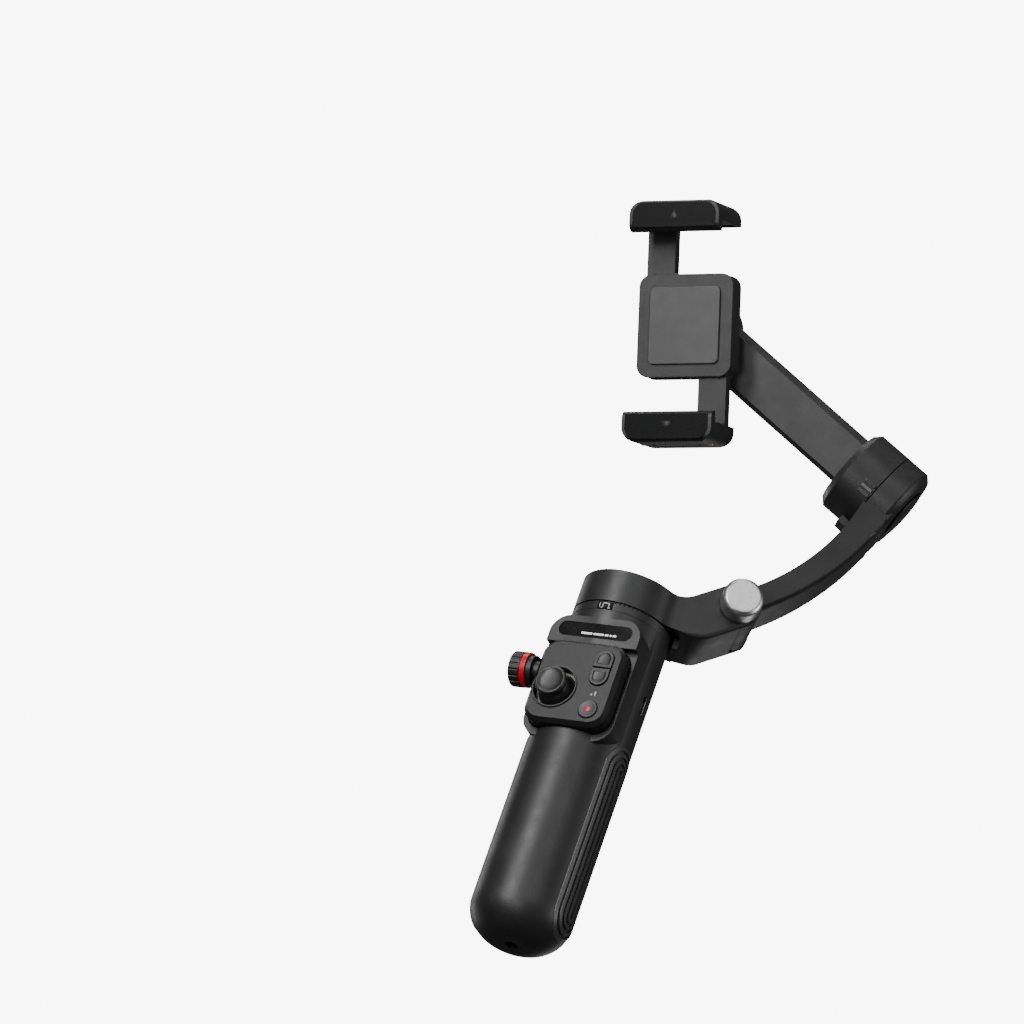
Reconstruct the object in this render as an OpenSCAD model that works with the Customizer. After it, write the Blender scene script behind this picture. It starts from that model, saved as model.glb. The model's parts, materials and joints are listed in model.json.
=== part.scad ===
// Folding three-axis phone gimbal: a round handle with a pull-off remote in its front, a pan motor,
// a folding arm with a second motor, and a third motor that carries a spring-loaded phone clamp.
// The origin is the mouth of the tripod socket, +Z runs up the handle and the control face looks at -Y.
// Every moving piece is drawn as it hangs when the gimbal is folded, then turned by the pose angles.

/* [Handle] */
// Outside diameter of the handle and of the pan motor
handle_d = 40; // [38:0.5:42]
// Height of the handle's shell
handle_h = 137.8; // [134:0.2:142]
// Wall of the shell
handle_wall = 2.4; // [2.1:0.1:2.8]
// Radius of the handle's rounded bottom edge
foot_edge = 14; // [12:0.5:15]
// Depth of the tripod socket
socket_depth = 9; // [8:0.5:11]
// Minor diameter of the quarter-inch tripod thread
socket_d = 5.2; // [5:0.05:5.4]
// Outside diameter of the metal insert
insert_d = 10.4; // [9:0.2:11]
// Width of each ribbed grip pad
pad_w = 20; // [17:0.2:21]
// Top of the grip pads
pad_top = 88.4; // [84:0.2:90]
// Bottom of the grip pads
pad_low = 5; // [4.5:0.5:10]
// Diameter of the battery cell
cell_d = 18; // [16:0.5:19]
// Length of the battery cell
cell_h = 65; // [62:0.5:65]

/* [Dock] */
// Width of the raised dock housing
dock_w = 38; // [37.6:0.2:38.8]
// Height of the dock housing
dock_h = 52; // [51:0.5:53]
// Distance from the top of the handle's shell down to the dock housing
dock_drop = 3.8; // [3.3:0.1:4.3]
// Distance from the handle's axis to the dock's side rims
dock_front = 16.4; // [15.5:0.1:17]
// Distance from the handle's axis to the display bar's face
display_front = 19.8; // [19.2:0.1:20.4]
// Width of the display window
window_w = 31; // [27:0.5:32]
// Height of the display window
window_h = 6.4; // [5.4:0.2:7]

/* [Remote] */
// Width of the remote
remote_w = 35; // [34:0.25:35.2]
// Height of the remote
remote_h = 36.5; // [36:0.25:36.75]
// Depth of the remote
remote_t = 13.9; // [13:0.1:15]
// Corner radius of the remote
remote_r = 7; // [5:0.5:8]
// Diameter of the joystick's cap
stick_d = 12.4; // [11:0.2:13]
// Diameter of the record key
record_d = 7.6; // [7:0.2:8.4]
// Width of the two upper keys
key_w = 7.6; // [7:0.2:8.2]
// Diameter of the focus dial
dial_d = 14; // [13:0.2:15]
// How far the focus dial stands out of the remote's side
dial_reach = 12.2; // [11.5:0.1:13]

/* [Arms] */
// Height of the pan motor's collar
collar_h = 3.8; // [3.4:0.1:4.4]
// Height of the pan motor's turning housing
rotor_h = 13.9; // [13.5:0.1:15]
// Distance of the fold hinge from the handle's axis
hinge_reach = 39.5; // [38.5:0.25:41]
// Width of the fold clevis
clevis_w = 28.6; // [28:0.2:30]
// Radius of the clevis ears
ear_r = 8.8; // [8.4:0.1:9.2]
// Thickness of each clevis ear
ear_t = 3.2; // [3:0.1:3.4]
// Diameter of the hinge bolt's shank
bolt_d = 6; // [5:0.2:6.4]
// Distance from the hinge to the tilt motor's axis
arm_span = 83.75; // [82.75:0.25:85]
// Width of the folding arm
arm_w = 26.8; // [25:0.1:27.6]
// Thickness of the folding arm
arm_t = 10.4; // [9.4:0.2:11]
// Radius of the arm's arched inner face
arch_r = 97; // [96:0.5:99]
// Radius of the arm's outer face
back_r = 126.8; // [125:0.2:129]
// Diameter of the tilt motor
tilt_d = 36; // [35:0.5:37]
// Distance along the tilt axis from the motor's seam to the phone clamp's middle
drop_len = 100; // [96:0.5:104]
// Width of the tilt bar
bar_w = 21.2; // [20:0.2:23]
// Thickness of the tilt bar
bar_t = 7; // [6:0.2:8]
// Diameter of the roll motor
roll_d = 30; // [29:0.5:32]
// Diameter of the lock knob
knob_d = 16; // [15:0.5:17]
// Length of the lock knob
knob_h = 8.5; // [8:0.25:10]

/* [Phone clamp] */
// Gap between the jaws' pads in the pose that is drawn
jaw_gap = 77.6; // [74:0.2:80]
// Length of the jaws along the phone
jaw_len = 38; // [36:0.5:40]
// Depth of the jaws from lip to back
jaw_depth = 24; // [23:0.5:26]
// Thickness of a jaw's end wall
jaw_wall = 8.2; // [7.6:0.1:9]
// How far a jaw's lip reaches over the phone
lip_reach = 3.2; // [2.8:0.2:4.4]
// Width of the clamp's frame between the jaws
clamp_w = 41; // [39:0.5:42]
// Depth of the clamp's frame
clamp_t = 8.8; // [8.6:0.1:9.4]

/* [Pose] */
// Turn of the pan motor from the folded position
pose_pan = 120; // [118:0.5:122]
// Angle by which the arm is unfolded
pose_fold = 117.3; // [115:0.1:118]
// Turn of the tilt motor from the folded position
pose_tilt = -54.5; // [-57:0.5:-52]
// Turn of the phone clamp from the folded position
pose_roll = 40.8; // [39:0.1:42]

/* [Hidden] */
$fn = 48;

// Overrun of every cut, and the clearances between pieces
over = 1;
running_gap = 0.05;
seam_gap = 0.4;
slide_gap = 0.3;
seat_gap = 0.1;

handle_r = handle_d / 2;
bore_r = handle_r - handle_wall;
socket_roof = 2;
floor_top = socket_depth + socket_roof;
insert_r = insert_d / 2;
insert_flange_t = 0.8;

// Inner frame, cell and board
bulkhead_t = 2;
spine_t = 2.7;
spine_w = 14;
cell_low = floor_top + bulkhead_t;
cell_gap = 0.5;
shelf_z = cell_low + cell_h + cell_gap;
board_t = 1.6;
board_w = 26;
board_back = 3.3;
board_gap = 1;
board_drop = 6;
board_low = shelf_z + bulkhead_t + board_gap;
board_top = handle_h - board_drop;
frame_top = handle_h;

// USB socket, centred on the handle's +X side
usb_z = 108.4;
usb_len = 9.2;
usb_t = 3.3;
usb_wall = 0.35;
usb_depth = 8;
usb_inset = 0.3;

// Grip pads
pad_t = 1.4;
pad_proud = 0.3;
rib_h = 0.8;
rib_w = 1.3;
rib_pitch = pad_w / 8;
rib_rings = 4;

// Dock, magnets and contacts
dock_z = handle_h - dock_drop - dock_h / 2;
dock_corner = 8;
dock_block = 5.5;
dock_floor_t = 1.2;
dock_floor_front = 8.9;
remote_side_gap = 0.3;
remote_drop = 4.6;
remote_z = dock_z - remote_drop;
pocket_w = remote_w + 2 * remote_side_gap;
pocket_h = remote_h + 2 * remote_side_gap;
bar_low = remote_z + pocket_h / 2;
window_z = bar_low + (dock_z + dock_h / 2 - bar_low) / 2;
window_t = 1.2;
panel_t = 1;
panel_margin = 1.5;
contact_r = 0.7;
contact_in = 6.2;
contact_pitch = 4.2;
contact_drop = 5;
magnet_r = 4;
magnet_t = 2;
magnet_spread = 9;

// Back trigger
trigger_w = 8;
trigger_low = 98.6;
pin_z = 112;
pin_y = 15.4;
pin_r = 1;
trigger_hub_r = 2.2;
trigger_bump_r = 5;
trigger_proud = 2;
trigger_gap = 0.4;
trigger_swing = 1;
ear_plate_t = 2;
ear_plate_h = 5;

// Pan motor
collar_top = handle_h + collar_h;
rotor_low = collar_top + seam_gap;
rotor_top = collar_top + seam_gap + rotor_h;
motor_wall = 2.4;
collar_floor_t = 2.5;
shaft_r = 3;
bearing_r = 6.5;
bearing_h = 4;
boss_wall = 1.5;
magnet_ring_t = 1.6;
air_gap = 0.5;
stator_slots = 12;
slot_w = 1.6;
core_hub = 2.5;
pan_rotor_r = handle_r - motor_wall;
pan_boss_r = bearing_r + boss_wall;
pan_roof = rotor_top - motor_wall;
pan_boss_drop = 2;
pan_boss_top = pan_roof - pan_boss_drop;
pan_stack_h = 8;
stop_w = 13;
stop_t = 2.6;

// Fold hinge and clevis, drawn with the clevis towards -Y
hinge_rise = 5.5;
hinge_z = rotor_top + hinge_rise;
clevis_half = clevis_w / 2;
slot_half = clevis_half - ear_t;
toe_set = 9.1;
toe_round = 9;
crest_set = 7.1;
crest_rise = 6;
shoulder_set = 1.1;
saddle_round = 11;
neck_round = 10;
neck_bite = 0.05;
clevis_toe = hinge_reach - toe_set;
clevis_crest = hinge_reach - crest_set;
clevis_shoulder = handle_r - shoulder_set;
slot_clearance = 0.6;
slot_r = ear_r + slot_clearance;
lip_drop = 1.5;
bolt_r = bolt_d / 2;
head_af = 10.4;
head_h = 2.4;
head_sink = 1;
head_ring_r = 6.6;
knob_bore_depth = 6.2;
knob_gap = 0.3;
knob_chamfer = 1.3;

// Folding arm
barrel_gap = 0.2;
barrel_r = ear_r - barrel_gap;
barrel_half = slot_half - seam_gap;
shoulder_r = ear_r + seam_gap;
crest_clearance = 0.6;
crest_r = norm([crest_set, crest_rise]) + crest_clearance;
crest_top = 1.2;
arch_y = 5;
arch_rise = 4;
arch_z = hinge_z + arch_rise - arch_r;
back_y = 11.5;
back_z = hinge_z + arch_rise + arm_t - back_r;
motor_lean = 4.1;
tilt_y = arm_span - hinge_reach;
tilt_rise = 2.8;
tilt_z = hinge_z + tilt_rise;
tilt_r = tilt_d / 2;
cap_low = -2;
cap_h = 11.5;
cap_top = cap_low + cap_h;
cap_edge = 2.4;
cap_disc_r = 10;
cap_disc_t = 1;
tilt_wall = 2.6;
tilt_cavity_r = tilt_r - tilt_wall;
housing_top = cap_low - seam_gap;
housing_h = 16;
housing_low = housing_top - housing_h;
tilt_boss_low = housing_low + tilt_wall + bulkhead_t;
tilt_stop_w = 6;
tilt_stop_t = 3.4;
tilt_stop_h = 5;
tick_w = 1.3;
tick_h = 5;
tick_proud = 0.7;
tick_low = 0.6;
tick_step = 7;
tick_turn = 266;

// Tilt bar and roll motor, in the tilt motor's own frame
roll_s = cap_low - drop_len;
clamp_set = 5.7;
roll_lean = 13.4;
bar_front = 3.4;
bar_foot = 8;
bar_side = -1.2;
bar_edge = 2;
roll_r = roll_d / 2;
roll_front = seam_gap;
roll_back = 17;
roll_wall = 2;
roll_cavity_r = roll_r - roll_wall;
roll_shaft_r = 2.5;
roll_bearing_r = 5;
roll_boss_wall = 1;
roll_boss_r = roll_bearing_r + roll_boss_wall;
roll_boss_front = 6;
roll_cap_r = 13;
roll_cap_t = 3.3;
roll_cap_edge = 1;
hub_t = 2.6;
hub_r = roll_cavity_r - air_gap;
roll_magnet_t = 1.2;
roll_stack = 8;

// Phone clamp, in the roll motor's own frame: x across the phone, z along it
half_gap = jaw_gap / 2;
clamp_over = 2;
clamp_h = jaw_len + clamp_over;
clamp_corner = 5;
clamp_face_t = 1.5;
cavity_front = clamp_t - clamp_face_t;
cavity_back = 1.8;
clamp_side_t = 2;
cavity_half = clamp_h / 2 - clamp_side_t;
liner_t = 1;
jaw_edge = 3;
jaw_corner = 6;
lip_t = 4;
phone_seat = clamp_t + liner_t;
tongue_len = 50;
tongue_t = 4.5;
tongue_mid = (cavity_front + cavity_back) / 2;
tongue_out = cavity_half - slide_gap;
closed_gap = 1.5;
closed_half = clamp_w / 2 + closed_gap;
mouth_depth = tongue_len - 2 * closed_half + 2 * liner_t;
gear_module = 1;
gear_teeth = 10;
pitch_r = gear_module * gear_teeth / 2;
tooth_tip = 0.6;
tooth_root = 0.9;
tooth_backlash = 0.3;
flank_share = 0.36;
pinion_t = 3.6;
pinion_pin_r = 1.5;
rack_teeth = 10;
rack_first = ceil((half_gap - tongue_len) / (PI * gear_module));
rack_last = rack_first + rack_teeth - 1;
accessory_w = 9;
accessory_h = 20;
accessory_sink = 1.2;
accessory_gap = 0.7;
accessory_pin_r = 1;
accessory_pin_z = 14.2;
accessory_mid = jaw_depth / 2;

// Remote, in its docked place: depth counts from the handle's axis towards the front
remote_back_d = dock_floor_front + seat_gap;
remote_front_d = remote_back_d + remote_t;
remote_rear = 6.6;
remote_seam_d = remote_back_d + remote_rear;
remote_wall = 1.2;
face_t = 1.7;
face_chamfer = 1.6;
stick_x = -7.2;
stick_drop = 3.2;
stick_z = remote_z - stick_drop;
stick_hole_r = 8.4;
stick_ring_r = 9.25;
stick_ring_t = 0.8;
stick_ball_r = 7.6;
stick_sink = 5.7;
stick_pivot_d = remote_front_d - stick_sink;
stick_stem_r = 3.2;
stick_cap_t = 3.2;
stick_proud = 5.8;
stick_cap_d = remote_front_d + stick_proud;
yoke_r = 8.9;
yoke_inner_r = 7.8;
yoke_t = 2.6;
ball_cut = 4;
key_x = 9.5;
upper_key_rise = 11.1;
lower_key_rise = 2.9;
upper_key_z = remote_z + upper_key_rise;
lower_key_z = remote_z + lower_key_rise;
key_h = 7.4;
key_proud = 0.8;
key_gap = 0.25;
key_depth = 4;
key_flange = 0.8;
record_drop = 11.3;
record_z = remote_z - record_drop;
board2_t = 1;
board2_margin = 1;
cell2_w = 12;
cell2_h = 28;
cell2_t = 3.2;
dial_rise = 6.2;
dial_z = remote_z + dial_rise;
dial_d_mid = remote_back_d + remote_t / 2;
dial_r = dial_d / 2;
dial_neck_r = 4;
dial_neck_len = 3;
dial_flange_len = 2.1;
dial_flange_r = 6;
dial_ring_len = 2.4;
dial_rib_count = 18;
dial_rib_r = 0.55;
dial_hub_depth = 3;
notch_gap = 0.6;

// Solids of revolution and plates
module tube(r_out, r_in, h) {
    difference() {
        cylinder(r = r_out, h = h);
        translate([0, 0, -over])
            cylinder(r = r_in, h = h + 2 * over);
    }
}

module chamfered(r, h, edge) {
    cylinder(r = r, h = h - edge);
    translate([0, 0, h - edge])
        cylinder(r1 = r, r2 = r - edge, h = edge);
}

module rounded(w, h, r) {
    square([w - 2 * r, h], center = true);
    square([w, h - 2 * r], center = true);
    for (sx = [-1, 1], sy = [-1, 1])
        translate([sx * (w / 2 - r), sy * (h / 2 - r)])
            circle(r);
}

// A post with a rounded bottom edge, grown by a margin
module round_post(grow) {
    r = handle_r + grow;
    edge = foot_edge + grow;
    translate([0, 0, -grow])
        rotate_extrude()
            intersection() {
                square([r, handle_h + grow]);
                union() {
                    square([r - edge, handle_h + grow]);
                    translate([0, edge])
                        square([r, handle_h + grow - edge]);
                    translate([r - edge, edge])
                        circle(edge);
                }
            }
}

// A rounded plate that faces the front, between two depths from the handle's axis
module front_slab(w, h, r, near, far) {
    rotate([90, 0, 0])
        translate([0, 0, near])
            linear_extrude(far - near)
                rounded(w, h, r);
}

// A cylinder that faces the front, between two depths
module front_rod(r, near, far) {
    rotate([90, 0, 0])
        translate([0, 0, near])
            cylinder(r = r, h = far - near);
}

// A cylinder along X between two places
module x_rod(r, from, to) {
    translate([from, 0, 0])
        rotate([0, 90, 0])
            cylinder(r = r, h = to - from);
}

// A bar along X with half-round ends
module x_stadium(w, h, from, to) {
    translate([from, 0, 0])
        rotate([90, 0, 90])
            linear_extrude(to - from) {
                square([w, h - w], center = true);
                for (end = [-1, 1])
                    translate([0, end * (h - w) / 2])
                        circle(w / 2);
            }
}

// Frames of the moving bodies
module on_yoke() {
    rotate([0, 0, pose_pan])
        children();
}

module at_hinge() {
    translate([0, -hinge_reach, hinge_z])
        children();
}

module on_arm() {
    on_yoke()
        at_hinge()
            rotate([pose_fold, 0, 0])
                translate([0, hinge_reach, -hinge_z])
                    children();
}

module at_tilt() {
    translate([0, tilt_y, tilt_z])
        rotate([-motor_lean, 0, 0])
            children();
}

module on_tilt() {
    on_arm()
        at_tilt()
            rotate([0, 0, pose_tilt])
                children();
}

// Along the roll axis: local z runs from the clamp's back to the back of the roll motor
module roll_axis() {
    translate([0, clamp_set, roll_s])
        rotate([roll_lean - 90, 0, 0])
            children();
}

module on_clamp() {
    on_tilt()
        translate([0, clamp_set, roll_s])
            rotate([roll_lean, 0, 0])
                rotate([0, -pose_roll, 0])
                    children();
}

// Motor cores shared by the three motors
module stator_core(r_out, r_in, h) {
    difference() {
        tube(r_out, r_in, h);
        for (i = [0:stator_slots - 1])
            rotate([0, 0, i * 360 / stator_slots])
                translate([r_in + core_hub, -slot_w / 2, -over])
                    cube([r_out, slot_w, h + 2 * over]);
    }
}

// Handle
module pad_prism(shrink) {
    mid = (pad_top + pad_low) / 2;
    translate([0, 0, mid])
        x_stadium(pad_w - 2 * shrink, pad_top - pad_low - 2 * shrink, 0, handle_r + 2 * over);
}

module dock_pocket() {
    translate([0, 0, remote_z])
        front_slab(pocket_w, pocket_h, remote_r, dock_floor_front, handle_r + 2 * over);
    translate([0, 0, remote_z])
        front_slab(remote_w, remote_h, remote_r,
            dock_floor_front - dock_floor_t, dock_floor_front + over);
}

module dock_notch() {
    low = dial_z - dial_neck_r - notch_gap;
    translate([-handle_r - over, -handle_r - over, low])
        cube([handle_r - remote_w / 2 + over + remote_side_gap,
            handle_r + over - dial_d_mid + dial_neck_r + notch_gap, 2 * (dial_neck_r + notch_gap)]);
}

module handle_shell() {
    color([0.10, 0.10, 0.105])
        difference() {
            union() {
                round_post(0);
                translate([0, 0, dock_z])
                    front_slab(dock_w, dock_h, dock_corner, 0, dock_front);
                intersection() {
                    translate([0, 0, dock_z])
                        front_slab(dock_w, dock_h, dock_corner, 0, display_front);
                    translate([-handle_r, -handle_r - over, bar_low])
                        cube([handle_d, handle_r, dock_h]);
                }
            }
            difference() {
                translate([0, 0, floor_top])
                    cylinder(r = bore_r, h = handle_h);
                translate([-handle_r, -handle_r - over, dock_z - dock_h / 2])
                    cube([handle_d, handle_r + over - dock_block, dock_h]);
            }
            translate([0, 0, -over])
                cylinder(r = insert_r, h = floor_top + 2 * over);
            dock_pocket();
            dock_notch();
            translate([0, 0, window_z])
                front_slab(window_w, window_h, window_h / 2 - seat_gap,
                    display_front - window_t, handle_r + over);
            translate([0, 0, window_z])
                front_slab(window_w - 2 * panel_margin, window_h - 2 * panel_margin, panel_margin,
                    display_front - window_t - panel_t, display_front);
            dock_pins(contact_r, dock_block - over, dock_floor_front);
            dock_magnet_pair(magnet_r, dock_floor_front - dock_floor_t - magnet_t, dock_floor_front);
            translate([0, 0, usb_z])
                x_stadium(usb_t, usb_len, bore_r - over, handle_r + over);
            for (side = [0, 1])
                mirror([side, 0, 0])
                    intersection() {
                        difference() {
                            round_post(over);
                            round_post(-pad_t);
                        }
                        pad_prism(0);
                    }
            translate([-trigger_w / 2 - trigger_gap, pin_y - trigger_hub_r, trigger_low - trigger_swing])
                cube([trigger_w + 2 * trigger_gap, handle_r,
                    pin_z + trigger_hub_r + trigger_gap + trigger_swing - trigger_low]);
        }
}

module tripod_insert() {
    color([0.55, 0.50, 0.38])
        difference() {
            cylinder(r = insert_r, h = floor_top);
            translate([0, 0, -over])
                cylinder(r = socket_d / 2, h = socket_depth + over);
        }
}

module inner_frame() {
    color([0.25, 0.25, 0.26])
        difference() {
            union() {
                translate([0, 0, floor_top])
                    cylinder(r = bore_r, h = bulkhead_t);
                intersection() {
                    translate([0, 0, shelf_z])
                        cylinder(r = bore_r, h = bulkhead_t);
                    translate([-handle_r, -dock_block, shelf_z])
                        cube([handle_d, handle_d, bulkhead_t]);
                }
                translate([-spine_w / 2, cell_d / 2 + seat_gap, floor_top])
                    cube([spine_w, spine_t, shelf_z - floor_top]);
                translate([-spine_w / 2, board_back, shelf_z])
                    cube([spine_w, spine_t, frame_top - shelf_z]);
                intersection() {
                    cylinder(r = bore_r, h = frame_top);
                    for (side = [0, 1])
                        mirror([side, 0, 0])
                            translate([trigger_w / 2 + trigger_gap, board_back, pin_z - ear_plate_h / 2])
                                cube([ear_plate_t, handle_r, ear_plate_h]);
                }
            }
            translate([0, pin_y, pin_z])
                x_rod(pin_r, -handle_r, handle_r);
        }
}

module battery_cell() {
    color([0.20, 0.42, 0.62])
        translate([0, 0, cell_low])
            cylinder(r = cell_d / 2, h = cell_h);
}

module main_board() {
    color([0.05, 0.30, 0.18])
        translate([-board_w / 2, board_back - board_t, board_low])
            cube([board_w, board_t, board_top - board_low]);
}

module usb_port() {
    color([0.62, 0.63, 0.65])
        translate([0, 0, usb_z])
            difference() {
                x_stadium(usb_t, usb_len, handle_r - usb_inset - usb_depth, handle_r - usb_inset);
                difference() {
                    x_stadium(usb_t - 2 * usb_wall, usb_len - 2 * usb_wall,
                        handle_r - usb_depth + usb_wall, handle_r + over);
                    translate([handle_r - usb_depth, -usb_wall, -usb_len / 2 + usb_t / 2])
                        cube([usb_depth - 2 * usb_wall - usb_inset, 2 * usb_wall, usb_len - usb_t]);
                }
            }
}

module grip_pad() {
    intersection() {
        difference() {
            round_post(pad_proud - rib_h);
            round_post(-pad_t);
        }
        pad_prism(0);
    }
    intersection() {
        difference() {
            round_post(pad_proud);
            round_post(pad_proud - rib_h);
        }
        union()
            for (i = [0:rib_rings - 1])
                difference() {
                    pad_prism(i * rib_pitch);
                    pad_prism(i * rib_pitch + rib_w);
                }
    }
}

module grip_pad_right() {
    color([0.07, 0.07, 0.07])
        grip_pad();
}

module grip_pad_left() {
    color([0.07, 0.07, 0.07])
        mirror([1, 0, 0])
            grip_pad();
}

// Four contact pins in two pairs near the top of the dock's floor
module dock_pins(r, near, far) {
    for (side = [-1, 1], step = [0, 1])
        translate([side * (contact_in + step * contact_pitch), 0, remote_z + remote_h / 2 - contact_drop])
            front_rod(r, near, far);
}

module dock_magnet_pair(r, near, far) {
    for (side = [-1, 1])
        translate([side * magnet_spread, 0, remote_z - contact_drop])
            front_rod(r, near, far);
}

module dock_floor() {
    color([0.27, 0.27, 0.28])
        difference() {
            translate([0, 0, remote_z])
                front_slab(remote_w, remote_h, remote_r,
                    dock_floor_front - dock_floor_t, dock_floor_front);
            dock_pins(contact_r, 0, handle_r);
        }
}

module dock_contacts() {
    color([0.80, 0.66, 0.36])
        dock_pins(contact_r, dock_block - over, dock_floor_front);
}

module dock_magnets() {
    color([0.68, 0.69, 0.70])
        dock_magnet_pair(magnet_r, dock_floor_front - dock_floor_t - magnet_t,
            dock_floor_front - dock_floor_t);
}

module display_window() {
    color([0.01, 0.01, 0.012])
        translate([0, 0, window_z])
            front_slab(window_w, window_h, window_h / 2 - seat_gap,
                display_front - window_t, display_front - seat_gap);
}

module display_panel() {
    color([0.05, 0.06, 0.08])
        translate([0, 0, window_z])
            front_slab(window_w - 2 * panel_margin, window_h - 2 * panel_margin, panel_margin,
                display_front - window_t - panel_t, display_front - window_t);
}

module trigger_pin() {
    color([0.70, 0.71, 0.72])
        translate([0, pin_y, pin_z])
            x_rod(pin_r, -trigger_w / 2 - trigger_gap - ear_plate_t,
                trigger_w / 2 + trigger_gap + ear_plate_t);
}

module back_trigger() {
    mid = (trigger_low + pin_z) / 2;
    color([0.12, 0.12, 0.125])
        difference() {
            union() {
                translate([0, pin_y, pin_z])
                    x_rod(trigger_hub_r, -trigger_w / 2, trigger_w / 2);
                intersection() {
                    translate([-trigger_w / 2, pin_y, trigger_low])
                        cube([trigger_w, handle_r, pin_z + trigger_hub_r - trigger_low]);
                    cylinder(r = handle_r, h = handle_h);
                }
                translate([0, handle_r + trigger_proud - trigger_bump_r, trigger_low + trigger_bump_r])
                    x_rod(trigger_bump_r, -trigger_w / 2, trigger_w / 2);
            }
            translate([0, pin_y, pin_z])
                x_rod(pin_r + running_gap, -handle_r, handle_r);
            translate([-handle_r, 0, 0])
                cube([handle_d, pin_y - trigger_hub_r, mid + handle_h]);
        }
}

// Pan motor
module pan_collar() {
    color([0.10, 0.10, 0.105])
        translate([0, 0, handle_h]) {
            tube(handle_r, pan_rotor_r, collar_h);
            difference() {
                cylinder(r = pan_rotor_r + motor_wall / 2, h = collar_floor_t);
                translate([0, 0, -over])
                    cylinder(r = bearing_r, h = collar_floor_t + 2 * over);
            }
            tube(pan_boss_r, bearing_r, pan_boss_top - handle_h);
        }
}

module pan_stator() {
    low = rotor_low + air_gap;
    color([0.60, 0.36, 0.18])
        translate([0, 0, low])
            stator_core(pan_rotor_r - magnet_ring_t - air_gap, pan_boss_r, pan_stack_h);
}

module pan_bearings() {
    color([0.72, 0.73, 0.75])
        for (z = [handle_h + collar_floor_t, pan_boss_top - bearing_h])
            translate([0, 0, z])
                tube(bearing_r, shaft_r + running_gap, bearing_h);
}

module pan_shaft() {
    color([0.75, 0.76, 0.78])
        on_yoke()
            translate([0, 0, handle_h + over])
                cylinder(r = shaft_r, h = pan_roof - handle_h - over);
}

module pan_magnets() {
    color([0.45, 0.46, 0.48])
        on_yoke()
            translate([0, 0, rotor_low + air_gap])
                tube(pan_rotor_r, pan_rotor_r - magnet_ring_t, pan_stack_h);
}

// Point where a line from p touches a circle, on the side given by turn
function touch_point(p, c, r, turn) =
    let (d = norm(c - p), way = atan2(c[1] - p[1], c[0] - p[0]) + turn * asin(r / d))
    p + sqrt(d * d - r * r) * [cos(way), sin(way)];

// Corners rounded by an arc: the arc's middle and the points where it meets the two straight sides
function heading(a, b) = (b - a) / norm(b - a);
function half_corner(a, p, b) = acos(heading(p, a) * heading(p, b)) / 2;
function arc_middle(a, p, b, r) =
    p + heading([0, 0], heading(p, a) + heading(p, b)) * r / sin(half_corner(a, p, b));
function arc_start(a, p, b, r) = p + heading(p, a) * r / tan(half_corner(a, p, b));

module filled_corner(a, p, b, r) {
    difference() {
        polygon([arc_start(a, p, b, r), p, arc_start(b, p, a, r)]);
        translate(arc_middle(a, p, b, r))
            circle(r);
    }
}

// The clevis seen from its side, y to the right and z up
module clevis_profile() {
    hinge = [-hinge_reach, hinge_z];
    root_low = [0, rotor_low];
    root_high = [0, rotor_top];
    toe = [-clevis_toe, rotor_low];
    heel = touch_point(toe, hinge, ear_r, 1);
    crest = [-clevis_crest, hinge_z + crest_rise];
    shoulder = [-clevis_shoulder, rotor_top];
    polygon([root_low, arc_start(root_low, toe, heel, toe_round), arc_start(heel, toe, root_low, toe_round),
        heel, hinge, crest, shoulder, root_high]);
    translate(arc_middle(root_low, toe, heel, toe_round))
        circle(toe_round);
    filled_corner(crest, shoulder, root_high, saddle_round);
    translate(hinge)
        circle(ear_r);
}

// Fillet between the round housing and the clevis's flat side, seen from above
module neck_fillet() {
    reach = handle_r + neck_round - neck_bite;
    side = clevis_half + neck_round;
    deep = sqrt(reach * reach - side * side);
    difference() {
        polygon([[0, 0], [side, -deep] * handle_r / reach, [clevis_half + over, -deep + over / 2],
            [clevis_half, -deep], [0, -deep]]);
        translate([side, -deep])
            circle(neck_round);
    }
}

module fold_clevis() {
    color([0.10, 0.10, 0.105])
        on_yoke()
            difference() {
                union() {
                    translate([0, 0, rotor_low])
                        cylinder(r = handle_r, h = rotor_h);
                    translate([-clevis_half, 0, 0])
                        rotate([90, 0, 90])
                            linear_extrude(2 * clevis_half)
                                clevis_profile();
                    for (side = [0, 1])
                        mirror([side, 0, 0])
                            translate([0, 0, rotor_low])
                                linear_extrude(rotor_h)
                                    neck_fillet();
                    translate([-stop_w / 2, -handle_r - stop_t, handle_h + seat_gap])
                        cube([stop_w, stop_t - seam_gap, rotor_low + over - handle_h]);
                }
                translate([0, 0, rotor_low - over])
                    cylinder(r = pan_rotor_r, h = pan_roof - rotor_low + over);
                at_hinge() {
                    x_rod(slot_r, -slot_half, slot_half);
                    translate([-slot_half, 0, rotor_top - hinge_z])
                        cube([2 * slot_half, hinge_reach, handle_r]);
                    translate([-slot_half, -handle_r, -lip_drop])
                        cube([2 * slot_half, handle_r, handle_r]);
                    x_rod(bolt_r, -handle_d, handle_d);
                    x_rod(head_ring_r, clevis_half - head_sink, handle_d);
                }
            }
}

module hinge_bolt() {
    color([0.62, 0.62, 0.62])
        on_yoke()
            at_hinge() {
                x_rod(bolt_r, -clevis_half - knob_gap - knob_bore_depth + seam_gap, clevis_half - head_sink);
                translate([clevis_half - head_sink, 0, 0])
                    rotate([0, 90, 0])
                        cylinder(r = head_af / sqrt(3), h = head_h, $fn = 6);
            }
}

module lock_knob() {
    near = clevis_half + knob_gap;
    color([0.74, 0.74, 0.74])
        on_yoke()
            at_hinge()
                rotate([0, -90, 0])
                    translate([0, 0, near])
                        difference() {
                            chamfered(knob_d / 2, knob_h, knob_chamfer);
                            translate([0, 0, -over])
                                cylinder(r = bolt_r + running_gap, h = knob_bore_depth + over);
                        }
}

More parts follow.
